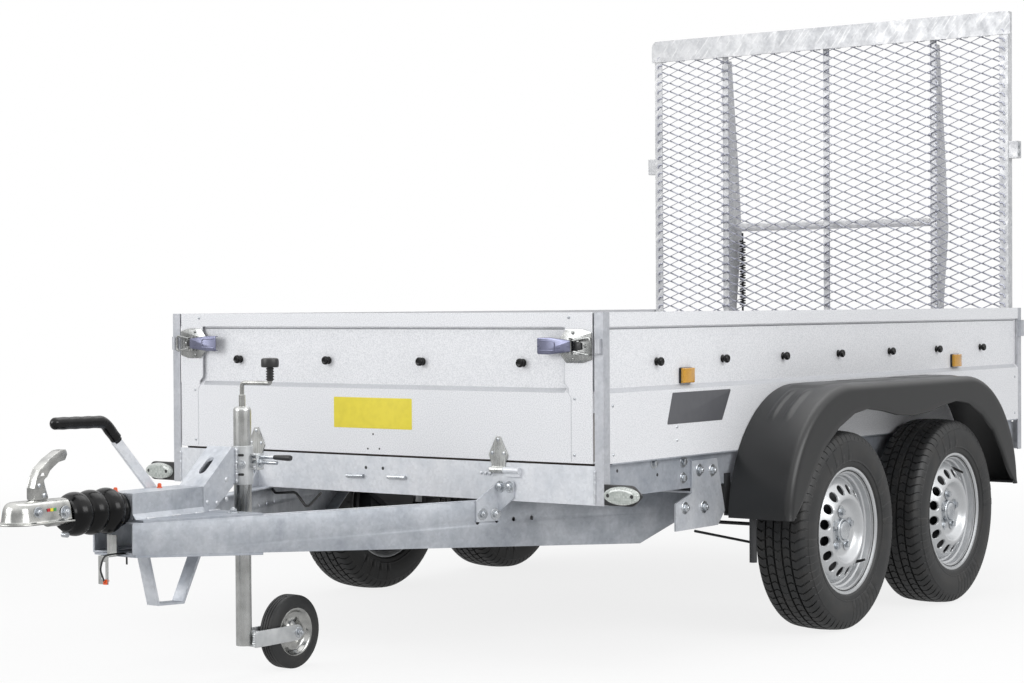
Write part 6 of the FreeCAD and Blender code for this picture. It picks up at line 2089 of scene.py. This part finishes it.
@dataclass
class FrontPanelTrim:
    """What is riveted, screwed or stuck to the drop front."""

    latch_z: float = 888.0
    knob_places: tuple[float, ...] = (-534.0, -178.0, 178.0, 534.0)
    knob_z: float = 840.0
    label: tuple[Point, Point] = ((-149.0, 643.0), (146.0, 733.0))
    rivet_places: tuple[Point, ...] = ((697, 966), (715, 744), (714, 590))
    leaf_rivets: tuple[Point, ...] = ((457, 625), (437, 587), (477, 587))
    holes: tuple[Point, ...] = ((0.6, 626.5), (-19.5, 583.5), (24.0, 584.4))

    def build(self, shop: Workshop) -> None:
        """Makes the trim on the panel's body.

        Args:
            shop: Workshop that makes the pieces.
        """
        z = self.latch_z
        # Black plate in the latch's hollow: painted shade.
        hollow = plate(rounded([(717, z - 13), (742, z - 9), (742, z + 9), (717, z + 13)], 4), 5)
        rivets = [rivet(on_front(0, y, z), 4.6) for y, z in self.rivet_places]
        rivets += [rivet(on_front(4.3, y, z), 5.4) for y, z in self.leaf_rivets]
        film = plate(rounded(box_outline(*self.label), 3), 0.4, edge=0.1).moved(on_front(0.05))
        knobs = [lashing_knob().moved(on_front(-11, y, self.knob_z)) for y in self.knob_places]
        # Dark strip on the recess just under the top rim: painted shadow of the rim.
        under = plate(box_outline((-680, 932.6), (680, 935.8)), 0.5, edge=0.1).moved(on_front(-11.2))
        route = [(681, 935), (681, 787), (694, 772), (694, 759), (703, 746), (703, 571)]
        seam = plate(strap(route, 1.5, 2), 0.4, edge=0.1).moved(on_front(0.05))
        make = partial(shop.make, body="front_panel_body")
        make("front_latch_plates", self.plates().both_sides(), STAMPED_ZINC, "front_latches")
        make("front_latch_levers", self.levers().both_sides(), LATCH_ZINC)
        make("front_latch_hollows", hollow.moved(on_front(2.9)).both_sides(), AXLE_BLACK)
        make("front_panel_rivets", together(rivets).both_sides(), BOLT_ZINC)
        make("front_label_blank", film, YELLOW_FILM)
        make("front_knobs_moulded", together(knobs), BLACK_GLOSS, "front_knobs", sharp=60)
        make("front_fold_band", fold_band(-680, 680).moved(FRONT_FOLD), FOLD_SHADE_AND_SEAM_GREY)
        make("front_panel_seams", under, RIM_PAINTED_SHADOW)
        make("front_plate_edges", seam.both_sides(), FOLD_SHADE_AND_SEAM_GREY)
        # Black discs at the panel's small holes: painted shade inside them.
        make("front_panel_holes", hole_shade_discs([on_front(0, y, z) for y, z in self.holes], 3), AXLE_BLACK)

    def plates(self) -> Shape:
        """Makes the latch's winged base plate, its rails, wire loop and rivets.

        Returns:
            The shape, in the trailer's place.
        """
        z = self.latch_z
        wings = rounded([(660, z - 12), (688, z - 46), (744, z - 46), (773, z - 37), (773, z + 37), (744, z + 46),
                         (688, z + 46), (660, z + 12)], [3, 8, 8, 3, 3, 8, 8, 3])
        rail = plate(rounded([(700, 0), (770, 0), (770, 14), (722, 16)], 3), 3)
        loop = [(18, 724, z + 15), (17, 776, z + 24), (17, 776, z - 24), (18, 724, z - 15)]
        parts = [plate(wings, 2.4).moved(on_front(0.4))]
        for side in (1, -1):
            parts += [rail.moved(facing((1, 0, z + side * 20), (0, 1, 0), (1, 0, 0))),
                      rivet(on_front(2.8, 712, z + side * 36), 5.4)]
        return together([*parts, rivet(on_front(2.8, 752, z), 5), tube(bent(loop, 7, 6), 3.0, 12),
                         bar((16, 712, z + 23), (16, 712, z - 23), 4, 16)])

    def levers(self) -> Shape:
        """Makes the tapered lever with its folded edges and pressed outline.

        Returns:
            The shape, in the trailer's place.
        """
        z = self.latch_z
        grip = rounded([(606, z - 22), (644, z - 23), (716, z - 15), (716, z + 15), (644, z + 23), (606, z + 22)], 4)
        edges = [strap([(608, z + side * 21.5), (644, z + side * 22), (715, z + side * 14)], 2.4, 20)
                 for side in (1, -1)]
        pressed = strap([(614, z + 14), (664, z + 13), (664, z - 13), (614, z - 14)], 3.4, 7)
        return together([plate(grip, 2.6, edge=1.0).moved(on_front(20.6)),
                         *[plate(edge, 12).moved(on_front(10)) for edge in edges],
                         plate(pressed, 1.8, edge=0.8).moved(on_front(22.6))])


@dataclass
class SideTrim:
    """Knobs, reflectors, rivets and the blank plate on each side panel."""

    knob_first: float = -284.0
    knob_pitch: float = 362.0
    knob_count: int = 7
    recess_y: float = 799.0
    knob_z: float = 840.0
    reflectors: tuple[Point, ...] = ((-468, -402), (-2273, -2207))
    rivet_places: tuple[Point, ...] = ((-44, 725), (-46, 591), (-374, 652), (-374, 614), (-2740, 725), (-2740, 591))

    def build(self, shop: Workshop) -> None:
        """Makes the trim of both sides, since one half mirrors the other.

        Args:
            shop: Workshop that makes the pieces.
        """
        low, high = shop.box("side_panel_left")
        knobs = [lashing_knob().moved(outward(self.knob_first - self.knob_pitch * index, self.recess_y, self.knob_z))
                 for index in range(self.knob_count)]
        lenses = [plate(rounded(box_outline((start + 1, 775), (end - 1, 819)), 4), 10, edge=3.5).moved(
            on_side(self.recess_y + 16)) for start, end in self.reflectors]
        # Black rims a little larger than the lenses: painted shadow round the reflectors.
        bases = [plate(rounded(box_outline((start, 774), (end, 820)), 5), 6, edge=1.5).moved(
            on_side(self.recess_y + 6)) for start, end in self.reflectors]
        blank = plate(rounded([(-623, 661), (-321, 661), (-351, 750), (-675, 750)], 4), 0.9, edge=0.3)
        # Dark strip on the recess just under the top rim: painted shadow of the rim.
        under = plate(box_outline((low.x + 16, 932.6), (high.x - 1, 935.8)), 0.5, edge=0.1)
        rivets = [rivet(outward(x, 810, z), 4.6) for x, z in self.rivet_places]
        shop.make("side_knobs_moulded", together(knobs).both_sides(), BLACK_GLOSS, "side_knobs", sharp=60)
        shop.make("side_reflector_lenses", together(lenses).both_sides(), AMBER, "side_reflectors")
        for name, shape, finish in (
                ("side_reflector_bases", together(bases), BLACK_GRIP),
                ("side_plate_blank", blank.moved(on_side(811.0)), GREY_FILM),
                ("side_fold_bands", fold_band(low.x + 16, high.x - 1).moved(SIDE_FOLD), FOLD_SHADE_AND_SEAM_GREY),
                ("side_panel_seams", under.moved(on_side(799.6)), RIM_PAINTED_SHADOW),
                ("side_rivets", together(rivets), BOLT_ZINC)):
            shop.make(name, shape.both_sides(), finish)


@dataclass
class Lamps:
    """Oval front markers and the rear lamps under the rear beam."""

    front_y: float = 869.8
    front_z: float = 486.0
    front_size: Point = (112.0, 50.0)
    base_half: Point = (59.4, 28.4)
    rear_low: Place = (-2800.0, 560.0, 365.0)
    rear_high: Place = (-2758.0, 710.0, 454.7)
    lens_depth: float = 22.0

    def build(self, shop: Workshop) -> None:
        """Makes the lamps of both sides.

        Args:
            shop: Workshop that makes the pieces.
        """
        shop.make("front_lamp_lenses", self.lens().both_sides(), CLEAR, "front_lamps", sharp=60)
        shop.make("front_lamp_bases", self.base().both_sides(), BLACK_GRIP)
        low, high = self.rear_low, self.rear_high
        back, split = low[0] + self.lens_depth, low[1] + 96
        shop.make("rear_lamp_housings", block((back, *low[1:]), high, 3).both_sides(), BLACK_SATIN, "rear_lamps")
        for name, finish, start, end in (("red", RED, low[1] + 3, split - 1),
                                         ("amber", AMBER, split + 1, high[1] - 3)):
            lens = block((low[0], start, low[2] + 3), (back, end, high[2] - 3), 4)
            shop.make("rear_lamp_" + name, lens.both_sides(), finish)

    def lens(self) -> Shape:
        """Makes the domed oval lens of the left front lamp.

        Returns:
            The shape, in the trailer's place.
        """
        width, height = self.front_size
        rows = ((1.0, 1.0, 0), (1.0, 1.0, 8), (0.96, 0.93, 12), (0.86, 0.8, 14.4), (0.62, 0.52, 15.7),
                (0.2, 0.16, 16))
        return lofted([[Vector((x, self.front_y + u, self.front_z + v)) for u, v in oval(width * a, height * b, 48)]
                       for a, b, x in rows])

    def base(self) -> Shape:
        """Makes the black backing with its pointed ends, black discs of painted shade in the two screw holes and the
        cable's grommet.

        Returns:
            The shape, in the trailer's place.
        """
        y, z = self.front_y, self.front_z
        wide, tall = self.base_half
        outline = rounded([(-wide, -tall), (wide - 26, -tall), (wide, -4), (wide, 4), (wide - 26, tall),
                           (-wide, tall)], [2, 22, 6, 6, 22, 2])
        # Black discs at the two screw holes: painted shade in the holes.
        plug = turned([(5.6, 0), (5.6, 3.4), (4.6, 4.2), (0, 4.2)], 18)
        return together([plate(shifted(outline, y, z), 9, edge=1.5).moved(on_front(-8)),
                         *[plug.moved(on_front(11.6, y + shift, z)) for shift in (-38, 38)],
                         turned([(26, 0), (26, 1), (0, 1)], 24).moved(on_front(-9, y, z))])


@dataclass
class PostWelds:
    """Seam welds between posts and beams, the front beam's studs and its holes."""

    bead: float = 3.4
    seam_ys: tuple[float, ...] = (404, 420, 436)

    def build(self, shop: Workshop) -> None:
        """Makes the welds, the studs and the black discs of painted shade in the holes.

        Args:
            shop: Workshop that makes the pieces.
        """
        seams = [weld([(0.5, 780, 459), (0.5, 780, 552)], 3.6, 81, 6),
                 weld([(-2800, 771, 458), (-2800, 771, 552)], self.bead, 82, 6)]
        seams += [weld([(18, y, 532.5), (6, y, 528)], self.bead, 83, 4) for y in self.seam_ys]
        studs = [bar((5, -98, 502), (5, -34, 503), 6), bar((5, 58, 504), (5, 124, 505), 6)]
        # Black discs at the beam holes: painted shade inside the holes.
        places = [on_front(0.1, -27.6, 527.8), on_front(0.1, 36.7, 528), outward(-95, 790, 544),
                  outward(-300, 790, 520)]
        shop.make("frame_seam_welds", together(seams).both_sides(), WELD_ZINC, sharp=60)
        shop.make("front_beam_studs", together(studs), BOLT_ZINC)
        shop.make("frame_holes", hole_shade_discs(places, 5), AXLE_BLACK)


@dataclass
class RampFittings:
    """Welds, springs and bolts of the ramp, and its smooth cross tube."""

    plate_foot: float = 1997.0
    strand_pitch: float = 89.0
    tube_place: Point = (-2863.0, 1312.0)
    beam_y: float = 458.0
    spring_x: float = -2876.0
    spring_y: float = -426.0
    spring_radius: float = 11.0
    spring_turns: int = 26

    def build(self, shop: Workshop) -> None:
        """Makes the fittings on the ramp's body.

        Args:
            shop: Workshop that makes the pieces.
        """
        x, z = self.tube_place
        bolts = [bolt(outward(-2782, 811, height), 13, 0.9, 0.4) for height in (1555, 1582)]
        cross = bar((x, -self.beam_y, z), (x, self.beam_y, z), 16.5, 32)
        make = partial(shop.make, body="ramp_body")
        # The cross tube's near-white finish is a painted highlight.
        make("ramp_cross_tube_round", cross, TUBE_PAINTED_HIGHLIGHT)
        make("ramp_edge_welds", self.welds(), WELD_ZINC, sharp=60)
        make("ramp_help_springs", self.springs(), AXLE_BLACK, sharp=60)
        make("ramp_lug_bolts", together(bolts).both_sides(), BOLT_ZINC)

    def welds(self) -> Shape:
        """Makes the short beads where the mesh meets the top plate and the beams meet the frame.

        Returns:
            The shape, in the trailer's place.
        """
        places = [-740.0 + self.strand_pitch * index for index in range(17)]
        parts = [weld([(-2766, y, self.plate_foot), (-2766, y + 22, self.plate_foot)], 3.0, 90 + index, 6)
                 for index, y in enumerate(places)]
        for side in (1, -1):
            y = (self.beam_y + 15) * side
            parts += [weld([(-2804, y, z), (-2804, y, z + 26)], 3.0, 120 + index, 6)
                      for index, z in enumerate(range(620, 1960, 120))]
        return together(parts)

    def springs(self) -> Shape:
        """Makes the coil spring that balances the ramp, behind the right beam.

        Returns:
            The shape, in the trailer's place.
        """
        x, y, steps = self.spring_x, self.spring_y, self.spring_turns * 10
        coils = []
        for step in range(steps + 1):
            turn = FULL_TURN * step / 10
            coils.append(Vector((x + self.spring_radius * math.cos(turn), y + self.spring_radius * math.sin(turn),
                                 990 + 268 * step / steps)))
        return together([tube(coils, 2.6, 6, (0.2, 0.1, 1)), bar((x, y, 960), (x, y, 1290), 4, 14)])


CARRIED_STEEL = (
    (POST_ZINC, ("front_posts", "rear_posts")),
    (BEAM_ZINC, ("front_beam", "rear_beam", "handbrake_lever")),
    (GALVANISED, ("drawbar_brackets", "jockey_bracket", "under_hoop")),
    (GALVANISED_DRAWBAR, ("coupling_housing",)),
    (GALVANISED_SHADED_FRAME, ("side_beam_left", "side_beam_right", "coupling_plates")),
    (GALVANISED_UNDERSIDE_SHADE, ("cross_members",)),
    (AXLE_BLACK, ("axle_front", "axle_rear", "mudguard_stays")),
    (SHEET, ("side_panel_left", "side_panel_right", "front_panel")),
    (FLOOR_PLY, ("floor_board",)),
    (RAMP_ZINC, ("ramp_frame", "ramp_beams", "ramp_lugs")),
    (BRIGHT_ZINC_EDGE, ("plug_holder", "front_hinges")))


def main() -> None:
    """Builds the stage and each sub-assembly around the frame."""
    logging.basicConfig(level=logging.INFO, format="%(message)s")
    for item in list(bpy.data.objects):
        bpy.data.objects.remove(item)
    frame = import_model()
    shop = Workshop(frame)
    Studio().build(shop)
    for finish, nodes in CARRIED_STEEL:
        shop.dress(finish, *nodes)
    parts = [Coupling(), DrawbarBar(Side.LEFT), DrawbarBar(Side.RIGHT), DrawbarHardware(), JockeyStand(),
             FrontPanelTrim(), SideTrim(), Lamps(), PostWelds(), RampFittings()]
    parts += [RoadWheel(f"{end}_{side.name.lower()}", side) for end in ("front", "rear") for side in Side]
    parts += [Mudguard(Side.LEFT), Mudguard(Side.RIGHT), JockeyWheel(), RampMesh()]
    for part in parts:
        part.build(shop)


if __name__ == "__main__":
    main()
